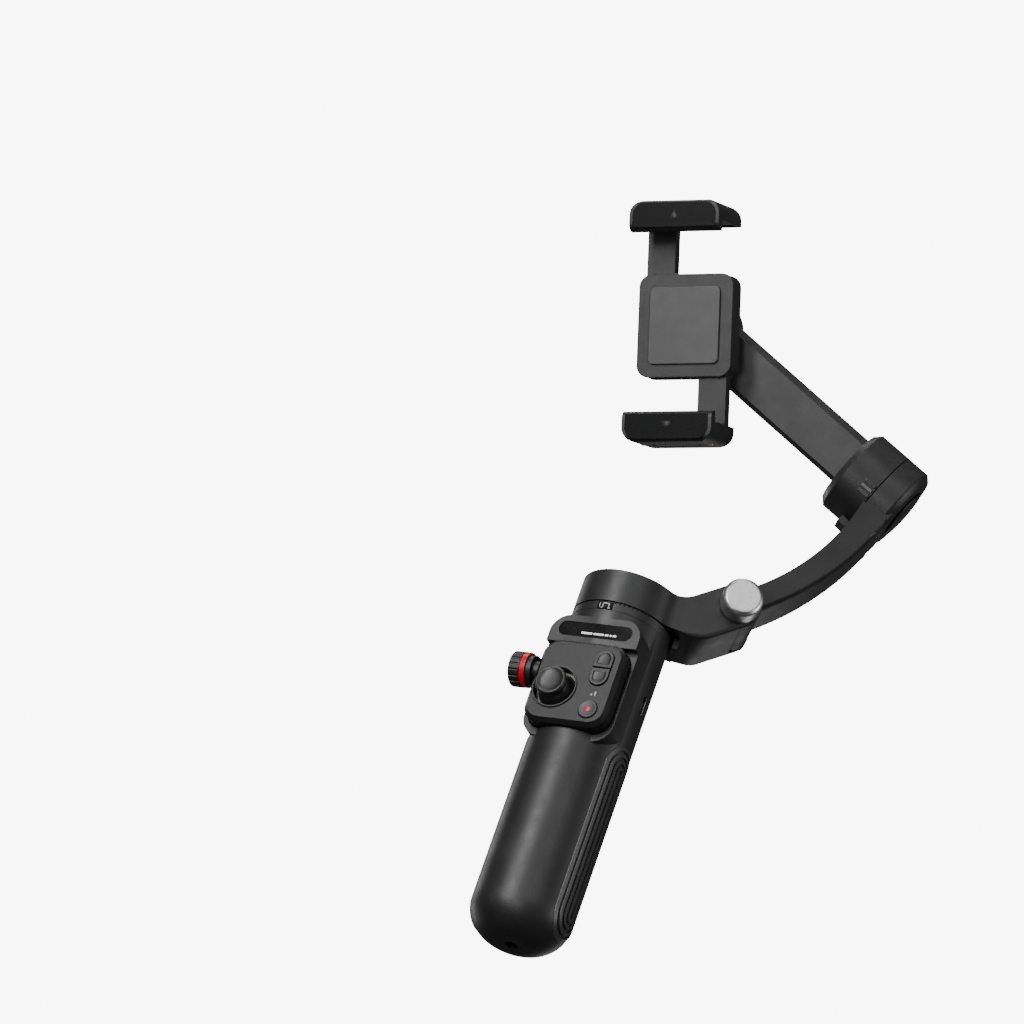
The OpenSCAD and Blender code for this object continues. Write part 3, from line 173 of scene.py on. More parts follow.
# Finishes on object coordinates: one for each slot, then some for single pieces
finishes = {
    "body_plastic": dict(dark=(0.0105, 0.0105, 0.011), light=(0.0165, 0.0165, 0.017), rough=(0.40, 0.50),
                         grain=2600, bump=0.16, patch=60),
    "trim_plastic": dict(dark=(0.008, 0.008, 0.0085), light=(0.014, 0.014, 0.0145), rough=(0.36, 0.46),
                         grain=3200, bump=0.12, patch=90),
    "dock_plastic": dict(dark=(0.034, 0.034, 0.035), light=(0.050, 0.050, 0.051), rough=(0.42, 0.52),
                         grain=3000, bump=0.14, patch=80),
    "gloss_black": dict(dark=(0.0010, 0.0010, 0.0012), light=(0.0018, 0.0018, 0.0021), rough=(0.16, 0.24),
                        grain=400, bump=0.0, patch=40, specular=0.18),
    "rubber_pad": dict(dark=(0.036, 0.036, 0.036), light=(0.048, 0.048, 0.048), rough=(0.34, 0.42),
                       grain=2200, bump=0.14, patch=120),
    "red_ring": dict(dark=(0.40, 0.004, 0.010), light=(0.54, 0.006, 0.014), rough=(0.20, 0.30),
                     grain=900, bump=0.03, patch=150),
    "white_polymer": dict(dark=(0.50, 0.48, 0.43), light=(0.60, 0.58, 0.52), rough=(0.35, 0.45),
                          grain=1500, bump=0.05, patch=150),
    "knurled_silver": dict(dark=(0.50, 0.50, 0.505), light=(0.58, 0.58, 0.585), rough=(0.30, 0.38),
                           grain=5200, bump=0.02, patch=200, metal=1.0),
    # a lighter, less metallic copy of the knob's silver: the face's extra brightness is painted highlight
    "knobFacePaintedHighlight": dict(dark=(0.66, 0.66, 0.665), light=(0.78, 0.78, 0.785), rough=(0.42, 0.52),
                     grain=5200, bump=0.03, patch=500, metal=0.35),
    "satin_steel": dict(dark=(0.38, 0.38, 0.385), light=(0.50, 0.50, 0.505), rough=(0.26, 0.38),
                        grain=3600, bump=0.05, patch=150, metal=1.0),
    "bright_steel": dict(dark=(0.48, 0.48, 0.49), light=(0.62, 0.62, 0.63), rough=(0.16, 0.26),
                         grain=4200, bump=0.03, patch=150, metal=1.0),
    "brass_insert": dict(dark=(0.060, 0.056, 0.050), light=(0.095, 0.088, 0.075), rough=(0.28, 0.40),
                         grain=2600, bump=0.05, patch=200, metal=1.0),
    "gold_contact": dict(dark=(0.72, 0.42, 0.22), light=(0.86, 0.56, 0.32), rough=(0.20, 0.30),
                         grain=2600, bump=0.03, patch=300, metal=1.0),
    "copper_core": dict(dark=(0.32, 0.13, 0.06), light=(0.48, 0.22, 0.10), rough=(0.30, 0.45),
                        grain=1800, bump=0.15, patch=300, metal=1.0),
    "magnet_nickel": dict(dark=(0.42, 0.42, 0.43), light=(0.55, 0.55, 0.56), rough=(0.14, 0.22),
                          grain=2600, bump=0.02, patch=150, metal=1.0),
    "board_green": dict(dark=(0.008, 0.07, 0.03), light=(0.015, 0.12, 0.05), rough=(0.28, 0.40),
                        grain=1400, bump=0.06, patch=260),
    "cell_wrap": dict(dark=(0.03, 0.12, 0.26), light=(0.04, 0.16, 0.33), rough=(0.18, 0.28),
                      grain=900, bump=0.03, patch=60),
    "paleMark": dict(dark=(0.42, 0.42, 0.42), light=(0.52, 0.52, 0.52), rough=(0.40, 0.50),
                     grain=1800, bump=0.02, patch=300),
    "litSegment": dict(dark=(0.78, 0.79, 0.80), light=(0.86, 0.87, 0.88), rough=(0.30, 0.40),
                       grain=1800, bump=0.02, patch=300, glow=0.5),
    # near-black for the pictogram's plate, and painted shade for the collar notches and the ring round the
    # tilt cap's disc
    "darkPlateAndShade": dict(dark=(0.0012, 0.0012, 0.0012), light=(0.0022, 0.0022, 0.0022), rough=(0.55, 0.65),
                     grain=1800, bump=0.05, patch=300, specular=0.2),
    "softMark": dict(dark=(0.022, 0.022, 0.022), light=(0.030, 0.030, 0.030), rough=(0.48, 0.56),
                     grain=1800, bump=0.05, patch=300),
    # glossier than the body plastic, and paler as painted highlight on the tick bars
    "tickGlossPaintedHighlight": dict(dark=(0.030, 0.030, 0.030), light=(0.042, 0.042, 0.042), rough=(0.22, 0.30),
                      grain=1800, bump=0.03, patch=300),
    "remoteShell": dict(dark=(0.0048, 0.0048, 0.0050), light=(0.0080, 0.0080, 0.0084), rough=(0.36, 0.44),
                        grain=2600, bump=0.10, patch=70, specular=0.38),
    "jawSheen": dict(dark=(0.0035, 0.0035, 0.0037), light=(0.0050, 0.0050, 0.0053), rough=(0.34, 0.38),
                     grain=2600, bump=0.03, patch=60, specular=0.10),
    "redDot": dict(dark=(0.42, 0.010, 0.025), light=(0.55, 0.015, 0.035), rough=(0.30, 0.40),
                   grain=900, bump=0.03, patch=300),
}
layers = dict(patchDetail=3, patchLow=0.3, patchHigh=0.72, smudgeShare=2.3, smudgeDetail=4, smudgeRough=0.6,
              smudgeLow=0.3, smudgeHigh=0.7, grainDetail=2, grainDepth=0.00005)
materials = {}


def makeFinish(name, spec):
    mat = bpy.data.materials.new(name)
    mat.use_nodes = True
    nodes, links = mat.node_tree.nodes, mat.node_tree.links
    shader = nodes["Principled BSDF"]
    where = nodes.new("ShaderNodeTexCoord")

    def noise(scale, detail, roughness=0.5):
        tex = nodes.new("ShaderNodeTexNoise")
        tex.inputs["Scale"].default_value = scale
        tex.inputs["Detail"].default_value = detail
        tex.inputs["Roughness"].default_value = roughness
        links.new(where.outputs["Object"], tex.inputs["Vector"])
        return tex

    patches = noise(spec["patch"], layers["patchDetail"])
    ramp = nodes.new("ShaderNodeValToRGB")
    ramp.color_ramp.elements[0].position = layers["patchLow"]
    ramp.color_ramp.elements[1].position = layers["patchHigh"]
    ramp.color_ramp.elements[0].color = (*spec["dark"], 1)
    ramp.color_ramp.elements[1].color = (*spec["light"], 1)
    links.new(patches.outputs["Fac"], ramp.inputs["Fac"])
    links.new(ramp.outputs["Color"], shader.inputs["Base Color"])
    smudge = noise(spec["patch"] * layers["smudgeShare"], layers["smudgeDetail"], layers["smudgeRough"])
    span = nodes.new("ShaderNodeMapRange")
    span.inputs["From Min"].default_value = layers["smudgeLow"]
    span.inputs["From Max"].default_value = layers["smudgeHigh"]
    span.inputs["To Min"].default_value, span.inputs["To Max"].default_value = spec["rough"]
    links.new(smudge.outputs["Fac"], span.inputs["Value"])
    links.new(span.outputs["Result"], shader.inputs["Roughness"])
    if spec["bump"]:
        grain = noise(spec["grain"], layers["grainDetail"])
        bump = nodes.new("ShaderNodeBump")
        bump.inputs["Strength"].default_value = spec["bump"]
        bump.inputs["Distance"].default_value = layers["grainDepth"]
        links.new(grain.outputs["Fac"], bump.inputs["Height"])
        links.new(bump.outputs["Normal"], shader.inputs["Normal"])
    shader.inputs["Metallic"].default_value = spec.get("metal", 0.0)
    shader.inputs["Specular IOR Level"].default_value = spec.get("specular", 0.5)
    if "glow" in spec:
        links.new(ramp.outputs["Color"], shader.inputs["Emission Color"])
        shader.inputs["Emission Strength"].default_value = spec["glow"]
    materials[name] = mat


for name, spec in finishes.items():
    makeFinish(name, spec)
print("finishes made:", len(materials))


# Shared steps for new pieces
def finishPiece(obj, body, slot, finish=None, nodes=()):
    obj.data.materials.clear()
    obj.data.materials.append(materials[finish or slot])
    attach(obj, body)
    if nodes:
        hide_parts(*nodes)
    return obj


merge = dict(drawn=1e-5, solid=1e-6, sliver=2e-6, flat=0.6)  # mm, metres, metres and degrees


def objectFrom(bm, name, place=Matrix.Identity(4)):
    # takes a mesh drawn in mm and sets it in its place
    bmesh.ops.remove_doubles(bm, verts=bm.verts, dist=merge["drawn"])
    bmesh.ops.recalc_face_normals(bm, faces=bm.faces)
    bmesh.ops.scale(bm, verts=bm.verts, vec=(mm, mm, mm))
    bmesh.ops.transform(bm, verts=bm.verts, matrix=place)
    mesh = bpy.data.meshes.new(name)
    bm.to_mesh(mesh)
    bm.free()
    mesh.shade_smooth()
    obj = bpy.data.objects.new(name, mesh)
    bpy.context.scene.collection.objects.link(obj)
    return obj


def breakEdges(obj, width, segments=3, angle=32):
    bevel = obj.modifiers.new("edgeBreak", "BEVEL")
    bevel.width = width * mm
    bevel.segments = segments
    bevel.limit_method = "ANGLE"
    bevel.angle_limit = radians(angle)
    bevel.use_clamp_overlap = True
    bevel.harden_normals = True
    bevel.miter_outer = "MITER_ARC"
    return bevel


smallEdge = dict(segments=2, angle=40)  # for the small pieces


def spinProfile(points, steps=96):
    # points are radius and height in mm
    bm = bmesh.new()
    verts = [bm.verts.new((r, 0, z)) for r, z in points]
    edges = [bm.edges.new(pair) for pair in zip(verts, verts[1:])]
    bmesh.ops.spin(bm, geom=verts + edges, cent=(0, 0, 0), axis=(0, 0, 1), angle=2 * pi,
                   steps=steps, use_merge=True)
    return bm


def plateFrom(outline, thick):
    # a flat outline in x and y, thickened along z
    bm = bmesh.new()
    face = bm.faces.new([bm.verts.new((x, y, 0)) for x, y in outline])
    grown = bmesh.ops.extrude_face_region(bm, geom=[face])
    raised = [v for v in grown["geom"] if isinstance(v, bmesh.types.BMVert)]
    bmesh.ops.translate(bm, verts=raised, vec=(0, 0, thick))
    return bm


def arcPoints(cx, cy, r, start, end, count=8):
    return [(cx + r * cos(radians(start + (end - start) * i / count)),
             cy + r * sin(radians(start + (end - start) * i / count))) for i in range(count + 1)]


def roundedOutline(x0, y0, x1, y1, radii):
    # radii of the corners low-left, low-right, high-right, high-left
    a, b, c, d = radii
    return (arcPoints(x0 + a, y0 + a, a, 180, 270) + arcPoints(x1 - b, y0 + b, b, 270, 360)
            + arcPoints(x1 - c, y1 - c, c, 0, 90) + arcPoints(x0 + d, y1 - d, d, 90, 180))


def midOf(edge):
    return (edge.verts[0].co + edge.verts[1].co) / 2


def bends(edge, degrees):
    return len(edge.link_faces) == 2 and edge.calc_face_angle(0) > radians(degrees)


def roundEdges(bm, edges, width, segments):
    bmesh.ops.bevel(bm, geom=edges, offset=width * mm, offset_type="OFFSET", affect="EDGES",
                    segments=segments, profile=0.5, material=-1, clamp_overlap=False)


def skinOf(node, width, segments=3, angle=32, weigh=None, shape=None, finish=None):
    # a merged copy of a CAD node with softened edges
    mesh = frame["nodes"][node].data.copy()
    mesh.name = node + "Skin"
    bm = bmesh.new()
    bm.from_mesh(mesh)
    bmesh.ops.remove_doubles(bm, verts=bm.verts, dist=merge["solid"])
    bmesh.ops.dissolve_degenerate(bm, edges=bm.edges, dist=merge["sliver"])
    bmesh.ops.dissolve_limit(bm, angle_limit=radians(merge["flat"]), verts=bm.verts, edges=bm.edges,
                             delimit={"NORMAL"})
    if shape:
        shape(bm)
    if weigh:
        layer = bm.edges.layers.float.new("bevel_weight_edge")
        for edge in bm.edges:
            if bends(edge, angle):
                edge[layer] = weigh(edge)
    if not width:
        bm.normal_update()
        for edge in bm.edges:
            edge.smooth = len(edge.link_faces) == 2 and edge.calc_face_angle(0) < radians(angle)
    bm.to_mesh(mesh)
    bm.free()
    if "custom_normal" in mesh.attributes:
        mesh.attributes.remove(mesh.attributes["custom_normal"])
    obj = bpy.data.objects.new(node + "Skin", mesh)
    bpy.context.scene.collection.objects.link(obj)
    mesh.shade_smooth()
    if width:
        bevel = breakEdges(obj, width, segments, angle)
        if weigh:
            bevel.limit_method = "WEIGHT"
    else:
        even = obj.modifiers.new("evenShade", "WEIGHTED_NORMAL")
        even.keep_sharp = True
    return finishPiece(obj, bodyOf[node], slotOf[node], finish, nodes=(node,))


# Folding arm: an outer and an inner arc along the beam, with their corners rounded
arm = dict(half=13.4, start=-34, end=31, step=1.25,
           outerY=11.5, outerZ=49.0, outerR=126.8, innerY=5, innerZ=68.4, innerR=97,
           outerRound=4.6, innerRound=1.3,
           cuts=(0.04, 0.12, 0.22, 0.34, 0.48, 0.64, 0.82, 1.0, 1.18),  # shares of a round
           fadeFrom=18.6, fadeTo=25,  # from the motor's axis: no round, whole round
           motorNear=17.9, motorFar=18.3, barrelR=10.2,  # where the beam leaves the cap and the barrel
           rimRound=0.7, rimSegments=3, rimAngle=30, rimReach=18.4, rimLow=163,
           level=0.4, slack=0.01, depth=0.02, leastRound=0.05, onPlane=1e-4, merge=0.02)


def motorReach(p):
    return hypot(p.x, p.y - pose["motorY"])


def hingeReach(p):
    return hypot(p.y + pose["hingeReach"], p.z - pose["hingeZ"])


def outerArc(y):
    return arm["outerZ"] + (arm["outerR"] ** 2 - (y - arm["outerY"]) ** 2) ** 0.5


def innerArc(y):
    return arm["innerZ"] + (arm["innerR"] ** 2 - (y - arm["innerY"]) ** 2) ** 0.5


def onBeam(v):
    return arm["start"] - arm["slack"] <= v.co.y <= arm["end"] + arm["slack"]


def onSide(face):
    return all(onBeam(v) and abs(v.co.x) > arm["half"] - arm["slack"] for v in face.verts)


def beamFaces(bm):
    # without the motor's cap and the barrel
    found = []
    for face in bm.faces:
        motor = [motorReach(v.co) for v in face.verts]
        hinge = [hingeReach(v.co) for v in face.verts]
        pastCap = min(motor) > arm["motorNear"] and max(motor) > arm["motorFar"]
        if pastCap and max(hinge) > arm["barrelR"]:
            found.append(face)
    return found


def cutFaces(bm, faces, point, normal):
    edges = dict.fromkeys(e for f in faces for e in f.edges)
    verts = dict.fromkeys(v for f in faces for v in f.verts)
    bmesh.ops.bisect_plane(bm, geom=[*verts, *edges, *faces], dist=arm["onPlane"], plane_co=point,
                           plane_no=normal)


def roundRims(bm):
    # convex rims of the cap over the tilt motor
    toArm = armFrame.inverted()
    rims = []
    for edge in bm.edges:
        p = toArm @ midOf(edge) / mm
        onCap = motorReach(p) < arm["rimReach"] and p.z > arm["rimLow"]
        if onCap and bends(edge, arm["rimAngle"]) and edge.is_convex:
            rims.append(edge)
    roundEdges(bm, rims, arm["rimRound"], arm["rimSegments"])


def roundCorner(bm, arc, r, way):
    # the arc is laid flat while both sides are cut in strips and pushed onto a quarter circle
    for v in bm.verts:
        v.co.z -= arc(v.co.y)
    for share in arm["cuts"]:
        cutFaces(bm, [f for f in bm.faces if onSide(f)], (0, 0, -way * r * share), (0, 0, 1))
    fade = arm["fadeTo"] - arm["fadeFrom"]
    for v in bm.verts:
        reach = motorReach(v.co)
        if onBeam(v) and abs(v.co.z) < arm["level"] and reach > arm["fadeFrom"]:
            v.co.z = 0
        fit = r * min(1, max(0, (reach - arm["fadeFrom"]) / fade))
        u, w = arm["half"] - abs(v.co.x), -way * v.co.z
        inCorner = -arm["slack"] < min(u, w) < arm["depth"] and max(u, w) < fit
        if onBeam(v) and fit > arm["leastRound"] and inCorner:
            push = fit / hypot(u - fit, w - fit)
            v.co.x = (1 if v.co.x > 0 else -1) * (arm["half"] - fit - (u - fit) * push)
            v.co.z = -way * (fit + (w - fit) * push)
    for v in bm.verts:
        v.co.z += arc(v.co.y)


def roundArm(bm):
    roundRims(bm)
    bmesh.ops.transform(bm, verts=bm.verts, matrix=Matrix.Scale(1 / mm, 4) @ armFrame.inverted())
    y = arm["start"]
    while y <= arm["end"]:
        cutFaces(bm, beamFaces(bm), (0, y, 0), (0, 1, 0))
        y += arm["step"]
    for side in (-1, 1):
        for share in arm["cuts"]:
            for r in (arm["outerRound"], arm["innerRound"]):
                cutFaces(bm, beamFaces(bm), (side * (arm["half"] - r * share), 0, 0), (1, 0, 0))
    roundCorner(bm, outerArc, arm["outerRound"], 1)
    roundCorner(bm, innerArc, arm["innerRound"], -1)
    bmesh.ops.remove_doubles(bm, verts=bm.verts, dist=arm["merge"])
    bmesh.ops.transform(bm, verts=bm.verts, matrix=armFrame @ Matrix.Scale(mm, 4))


# Clevis: the ears' lower outline is well rounded, the slot and the seam stay crisp
clevis = dict(round=1.7, segments=4, angle=32, sideX=14.2, farY=-47, nearY=-26, lowZ=162, lowSlope=0.2,
              seamZ=142.0, seamNear=0.2, seamR=20.4, slotHalf=11.8, slotY=-20, crisp=0.3)


def softenClevis(bm):
    toYoke = yokeFrame.inverted()

    def isLow(vert):
        p = toYoke @ vert.co / mm
        lowest = clevis["lowZ"] - clevis["lowSlope"] * (p.y + pose["hingeReach"])
        return abs(p.x) > clevis["sideX"] and clevis["farY"] < p.y < clevis["nearY"] and p.z < lowest

    outline = [e for e in bm.edges if bends(e, clevis["angle"]) and all(isLow(v) for v in e.verts)]
    roundEdges(bm, outline, clevis["round"], clevis["segments"])


# The next three give the share of a skin's width that an edge gets
def clevisEdge(edge):
    p = yokeFrame.inverted() @ midOf(edge) / mm
    onSeam = abs(p.z - clevis["seamZ"]) < clevis["seamNear"] and hypot(p.x, p.y) < clevis["seamR"]
    inSlot = abs(p.x) < clevis["slotHalf"] and p.y < clevis["slotY"]
    return clevis["crisp"] if onSeam or inSlot else 1.0


remoteRim = dict(half=15.6, midZ=103.4, halfHeight=16.4, crisp=0.22)


def remoteEdge(edge):
    p = midOf(edge) / mm
    outside = abs(p.x) > remoteRim["half"] or abs(p.z - remoteRim["midZ"]) > remoteRim["halfHeight"]
    return 1.0 if outside else remoteRim["crisp"]


post = dict(radius=20, near=0.12, frontY=-3, low=80, high=135, topZ=137.5, sideX=10, dockY=-14,
            topShare=0.3, dockShare=0.4, restShare=0.15)  # the handle's tube, where the dock meets it


def handleEdge(edge):
    p = midOf(edge) / mm
    if p.z > post["topZ"]:
        return post["topShare"]
    onPost = abs(hypot(p.x, p.y) - post["radius"]) < post["near"] and p.y < post["frontY"]
    atDock = onPost and post["low"] < p.z < post["high"] and abs(p.x) > post["sideX"]
    if atDock and not edge.is_convex:
        return 1.0
    return post["dockShare"] if p.y < post["dockY"] and p.z > post["low"] else post["restShare"]


skins = {
    "handle_shell": dict(width=2.2, weigh=handleEdge, segments=4), "pan_collar": dict(width=0.45),
    "fold_clevis": dict(width=0.6, weigh=clevisEdge, shape=softenClevis),
    "main_arm": dict(width=0, shape=roundArm),
    "tilt_housing": dict(width=0.5), "tilt_bar": dict(width=0.35), "roll_housing": dict(width=0.5),
    "roll_cap": dict(width=0.3), "clamp_frame": dict(width=0.6), "clamp_back_pad": dict(width=0.4),
    "upper_jaw": dict(width=0.8), "lower_jaw": dict(width=0.8),
    "remote_front": dict(width=1.1, weigh=remoteEdge, angle=25, finish="remoteShell"),
    "remote_back": dict(width=0.5, finish="remoteShell"),
    "back_trigger": dict(width=0.5), "focus_dial": dict(width=0.15), "dial_ring": dict(width=0.3),
    "dial_shaft": dict(width=0.25), "hinge_bolt": dict(width=0.3),
    "grip_pad_right": dict(width=0.32), "grip_pad_left": dict(width=0.32),
    "display_window": dict(width=0.15), "dock_floor": dict(width=0.1), "usb_port": dict(width=0.08),
    "accessory_pad": dict(width=0.2),
}
for node, spec in skins.items():
    skinOf(node, **spec)
print("cad pieces softened:", len(skins))

# Pan collar: near-black plates along the seam as painted shade in the scale notches, and a small pictogram on
# a dark plate
collar = dict(radius=20.0, sink=0.3, plateProud=0.04, markProud=0.09, seamZ=141.25, notches=9,
              notchFrom=-78, notchTo=-38, notchW=0.55, notchH=0.8, plateAngle=-89, plateZ=139.55,
              plateW=6.4, plateH=3.3)
collarMarks = {  # along and up from the plate's middle, width, height
    "collarMarkBar": (-2.3, 0.0, 0.4, 2.0), "collarMarkLeft": (-0.9, -0.1, 0.45, 1.9),
    "collarMarkRight": (1.5, -0.1, 0.45, 1.9), "collarMarkTop": (0.3, 0.95, 2.4, 0.45),
    "collarMarkFootLeft": (-1.15, -1.0, 0.9, 0.4), "collarMarkFootRight": (1.75, -1.0, 0.9, 0.4),
}
markDegrees = 180 / pi / collar["radius"]  # turn for each mm along the collar


def wrapPlate(name, angle, z, width, height, proud, slot, finish):
    # a thin plate bent round the collar
    low = collar["radius"] - collar["sink"]
    bm = bmesh.new()
    bmesh.ops.create_grid(bm, x_segments=max(1, int(width)), y_segments=1, size=0.5)
    for v in bm.verts:
        t = radians(angle) + v.co.x * width / collar["radius"]
        v.co = Vector((low * cos(t), low * sin(t), z + v.co.y * height))
    grown = bmesh.ops.extrude_face_region(bm, geom=bm.faces[:])
    for v in grown["geom"]:
        if isinstance(v, bmesh.types.BMVert):
            push = (collar["radius"] + proud) / hypot(v.co.x, v.co.y)
            v.co = Vector((v.co.x * push, v.co.y * push, v.co.z))
    return finishPiece(objectFrom(bm, name), "handle", slot, finish)


# painted shade: a near-black plate over each scale notch stands in for the shade inside it
for i in range(collar["notches"]):
    share = i / (collar["notches"] - 1)
    at = collar["notchFrom"] + (collar["notchTo"] - collar["notchFrom"]) * share
    wrapPlate("collarNotchShade%d" % i, at, collar["seamZ"], collar["notchW"], collar["notchH"],
              collar["plateProud"], "gloss_black", "darkPlateAndShade")
wrapPlate("collarPlate", collar["plateAngle"], collar["plateZ"], collar["plateW"], collar["plateH"],
          collar["plateProud"], "gloss_black", "darkPlateAndShade")
for name, (along, up, w, h) in collarMarks.items():
    wrapPlate(name, collar["plateAngle"] + along * markDegrees, collar["plateZ"] + up, w, h,
              collar["markProud"], "white_polymer", "paleMark")
print("collar marked")

# Display: a row of lit segments on the window
display = dict(faceDepth=19.72, z=126.2, height=0.85, thick=0.06, corner=0.2,
               segments=((-5.6, 4.6), (-0.5, 4.4), (4.4, 1.5), (6.3, 0.9), (7.6, 1.6)))  # start, width
for i, (x, w) in enumerate(display["segments"]):
    outline = roundedOutline(x, display["z"], x + w, display["z"] + display["height"],
                             [display["corner"]] * 4)
    segment = objectFrom(plateFrom(outline, display["thick"]), "displaySegment%d" % i,
                         faceFrame @ move(0, 0, display["faceDepth"]))
    finishPiece(segment, "handle", "white_polymer", "litSegment")
print("display lit")

# Joystick: ball, stem and a dished cap with a rounded rim, in a rounded bezel
stick = dict(x=-7.2, z=100.2, pivot=17.2, ballR=7.6, ballCut=4.0, ballSteps=16, stemR=3.2, capR=6.2,
             capLow=25.5, capTop=28.7,
             neck=((0, -0.6), (0.3, -0.25), (1.1, 0)),  # out from the stem, up from the cap's underside
             skirt=((0.6, 0.15), (0.15, 0.5), (0, 1.0)),  # in from the cap's side, up
             rim=((0, 0.9), (0.08, 0.5), (0.3, 0.18), (0.65, 0.03), (1.0, 0.1), (1.35, 0.35)),  # in, down
             dish=((3.6, 0.62), (2.2, 0.72), (1.0, 0.76), (0, 0.78)),  # radius, down
             bezel=((8.4, 22.55), (8.4, 23.3), (8.48, 23.52), (8.65, 23.66), (8.85, 23.7), (9.05, 23.62),
                    (9.18, 23.42), (9.25, 23.1), (9.25, 22.55), (8.4, 22.55)))
stickPlace = faceFrame @ move(stick["x"], stick["z"], 0)
lowest = atan2(-stick["ballCut"], (stick["ballR"] ** 2 - stick["ballCut"] ** 2) ** 0.5)
highest = atan2((stick["ballR"] ** 2 - stick["stemR"] ** 2) ** 0.5, stick["stemR"])
stickProfile = [(0, stick["pivot"] - stick["ballCut"])]
for i in range(stick["ballSteps"] + 1):
    a = lowest + (highest - lowest) * i / stick["ballSteps"]
    stickProfile.append((stick["ballR"] * cos(a), stick["pivot"] + stick["ballR"] * sin(a)))
stickProfile += [(stick["stemR"] + out, stick["capLow"] + up) for out, up in stick["neck"]]
stickProfile += [(stick["capR"] - into, stick["capLow"] + up) for into, up in stick["skirt"]]
stickProfile += [(stick["capR"] - into, stick["capTop"] - down) for into, down in stick["rim"]]
stickProfile += [(reach, stick["capTop"] - down) for reach, down in stick["dish"]]
finishPiece(objectFrom(spinProfile(stickProfile), "joystickBody", stickPlace), "stick", slotOf["joystick"],
            nodes=("joystick",))
finishPiece(objectFrom(spinProfile(stick["bezel"]), "joystickBezel", stickPlace), "remote",
            slotOf["joystick_ring"], nodes=("joystick_ring",))
print("joystick made")

# Keys: raised rim, sunk middle
keys = dict(x=9.5, width=7.6, line=110.4, gap=0.25, straight=3.6, low=19.7, high=23.7, endSteps=20,
            sink=((1.15, 0), (0.35, -0.28), (0.6, -0.1)),  # inset, depth
            edge=0.28, edgeAngle=25, recordZ=92.1, recordR=3.8, recordSteps=64, dotSteps=48,
            recordRim=((3.8, 23.35), (3.7, 23.58), (3.5, 23.7), (3.1, 23.7), (2.8, 23.6), (2.0, 23.5),
                       (1.2, 23.46), (0, 23.46)),
            dot=((0, 23.3), (1.3, 23.3), (1.3, 23.5), (1.15, 23.57), (0.7, 23.62), (0, 23.63)))


def sinkFace(bm, steps):
    face = max(bm.faces, key=lambda f: f.calc_center_median().z)
    for inset, depth in steps:
        bmesh.ops.inset_region(bm, faces=[face], thickness=inset, depth=0, use_even_offset=True)
        bmesh.ops.translate(bm, verts=face.verts, vec=(0, 0, depth))


half = keys["width"] / 2
for name, node, way in (("upperKeyCap", "upper_key", 1), ("lowerKeyCap", "lower_key", -1)):
    base = keys["line"] + way * keys["gap"]
    outline = [(keys["x"] - half, base), (keys["x"] + half, base)]
    outline += arcPoints(keys["x"], base + way * keys["straight"], half, 0, way * 180, keys["endSteps"])
    bm = plateFrom(outline[::way], keys["high"] - keys["low"])
    bmesh.ops.recalc_face_normals(bm, faces=bm.faces)
    bm.normal_update()
    sinkFace(bm, keys["sink"])
    cap = objectFrom(bm, name, faceFrame @ move(0, 0, keys["low"]))
    finishPiece(cap, bodyOf[node], slotOf[node], nodes=(node,))
    breakEdges(cap, keys["edge"], angle=keys["edgeAngle"])
recordProfile = [(0, keys["low"]), (keys["recordR"], keys["low"]), *keys["recordRim"]]
recordPlace = faceFrame @ move(keys["x"], keys["recordZ"], 0)
recordKey = objectFrom(spinProfile(recordProfile, keys["recordSteps"]), "recordKeyCap", recordPlace)
finishPiece(recordKey, "record_key_body", slotOf["record_key"], nodes=("record_key",))
recordDot = objectFrom(spinProfile(keys["dot"], keys["dotSteps"]), "recordDot", recordPlace)
finishPiece(recordDot, "record_key_body", "red_ring", "redDot")

# Status marks under the two keys
status = dict(level=22.88, thick=0.07, corner=0.25)
statusMarks = {"statusMarkTall": (10.3, 99.1, 0.7, 2.1), "statusMarkShort": (8.9, 98.7, 0.9, 0.9)}
for name, (x, z, w, h) in statusMarks.items():
    outline = roundedOutline(x - w / 2, z - h / 2, x + w / 2, z + h / 2, [status["corner"]] * 4)
    mark = objectFrom(plateFrom(outline, status["thick"]), name, faceFrame @ move(0, 0, status["level"]))
    finishPiece(mark, "remote", "white_polymer", "paleMark")
print("remote dressed")

# Lock knob: a face painted paler than the silver body as painted highlight, bright chamfer and a diamond
# knurl round its side
knob = dict(near=14.6, height=8.5, radius=8.0, chamfer=1.3, bore=3.05, boreDepth=6.2,
            knurlFrom=1.1, knurlTo=6.6, knurlRows=12, knurlCount=72, knurlDepth=0.02,
            foot=((0.35, 0), (0.08, 0.15), (0, 0.5)),  # in from the side, up
            soft=0.1, rimIn=0.12, rimDown=0.08, midR=4.0, faceR=6.3, faceSoft=0.3, faceSink=0.1,
            faceEdge=0.03, faceProud=0.05, edge=0.12, sameR=1e-3)
knobPlace = hingeFrame @ turn("Y", -90) @ move(0, 0, knob["near"])
knobR, knobTop, rows = knob["radius"], knob["height"], knob["knurlRows"]
chamferZ, chamferR = knobTop - knob["chamfer"], knobR - knob["chamfer"]
knurlLength = knob["knurlTo"] - knob["knurlFrom"]
knobProfile = [(0, knob["boreDepth"]), (knob["bore"], knob["boreDepth"]), (knob["bore"], 0)]
knobProfile += [(knobR - into, up) for into, up in knob["foot"]]
knobProfile += [(knobR, knob["knurlFrom"] + knurlLength * i / rows) for i in range(rows + 1)]
knobProfile += [(knobR, chamferZ - knob["soft"]), (knobR - knob["soft"], chamferZ + knob["soft"]),
                (chamferR + knob["rimIn"], knobTop - knob["rimDown"]), (chamferR - knob["soft"], knobTop),
                (knob["midR"], knobTop), (0, knobTop)]
bm = spinProfile(knobProfile, knob["knurlCount"] * 2)
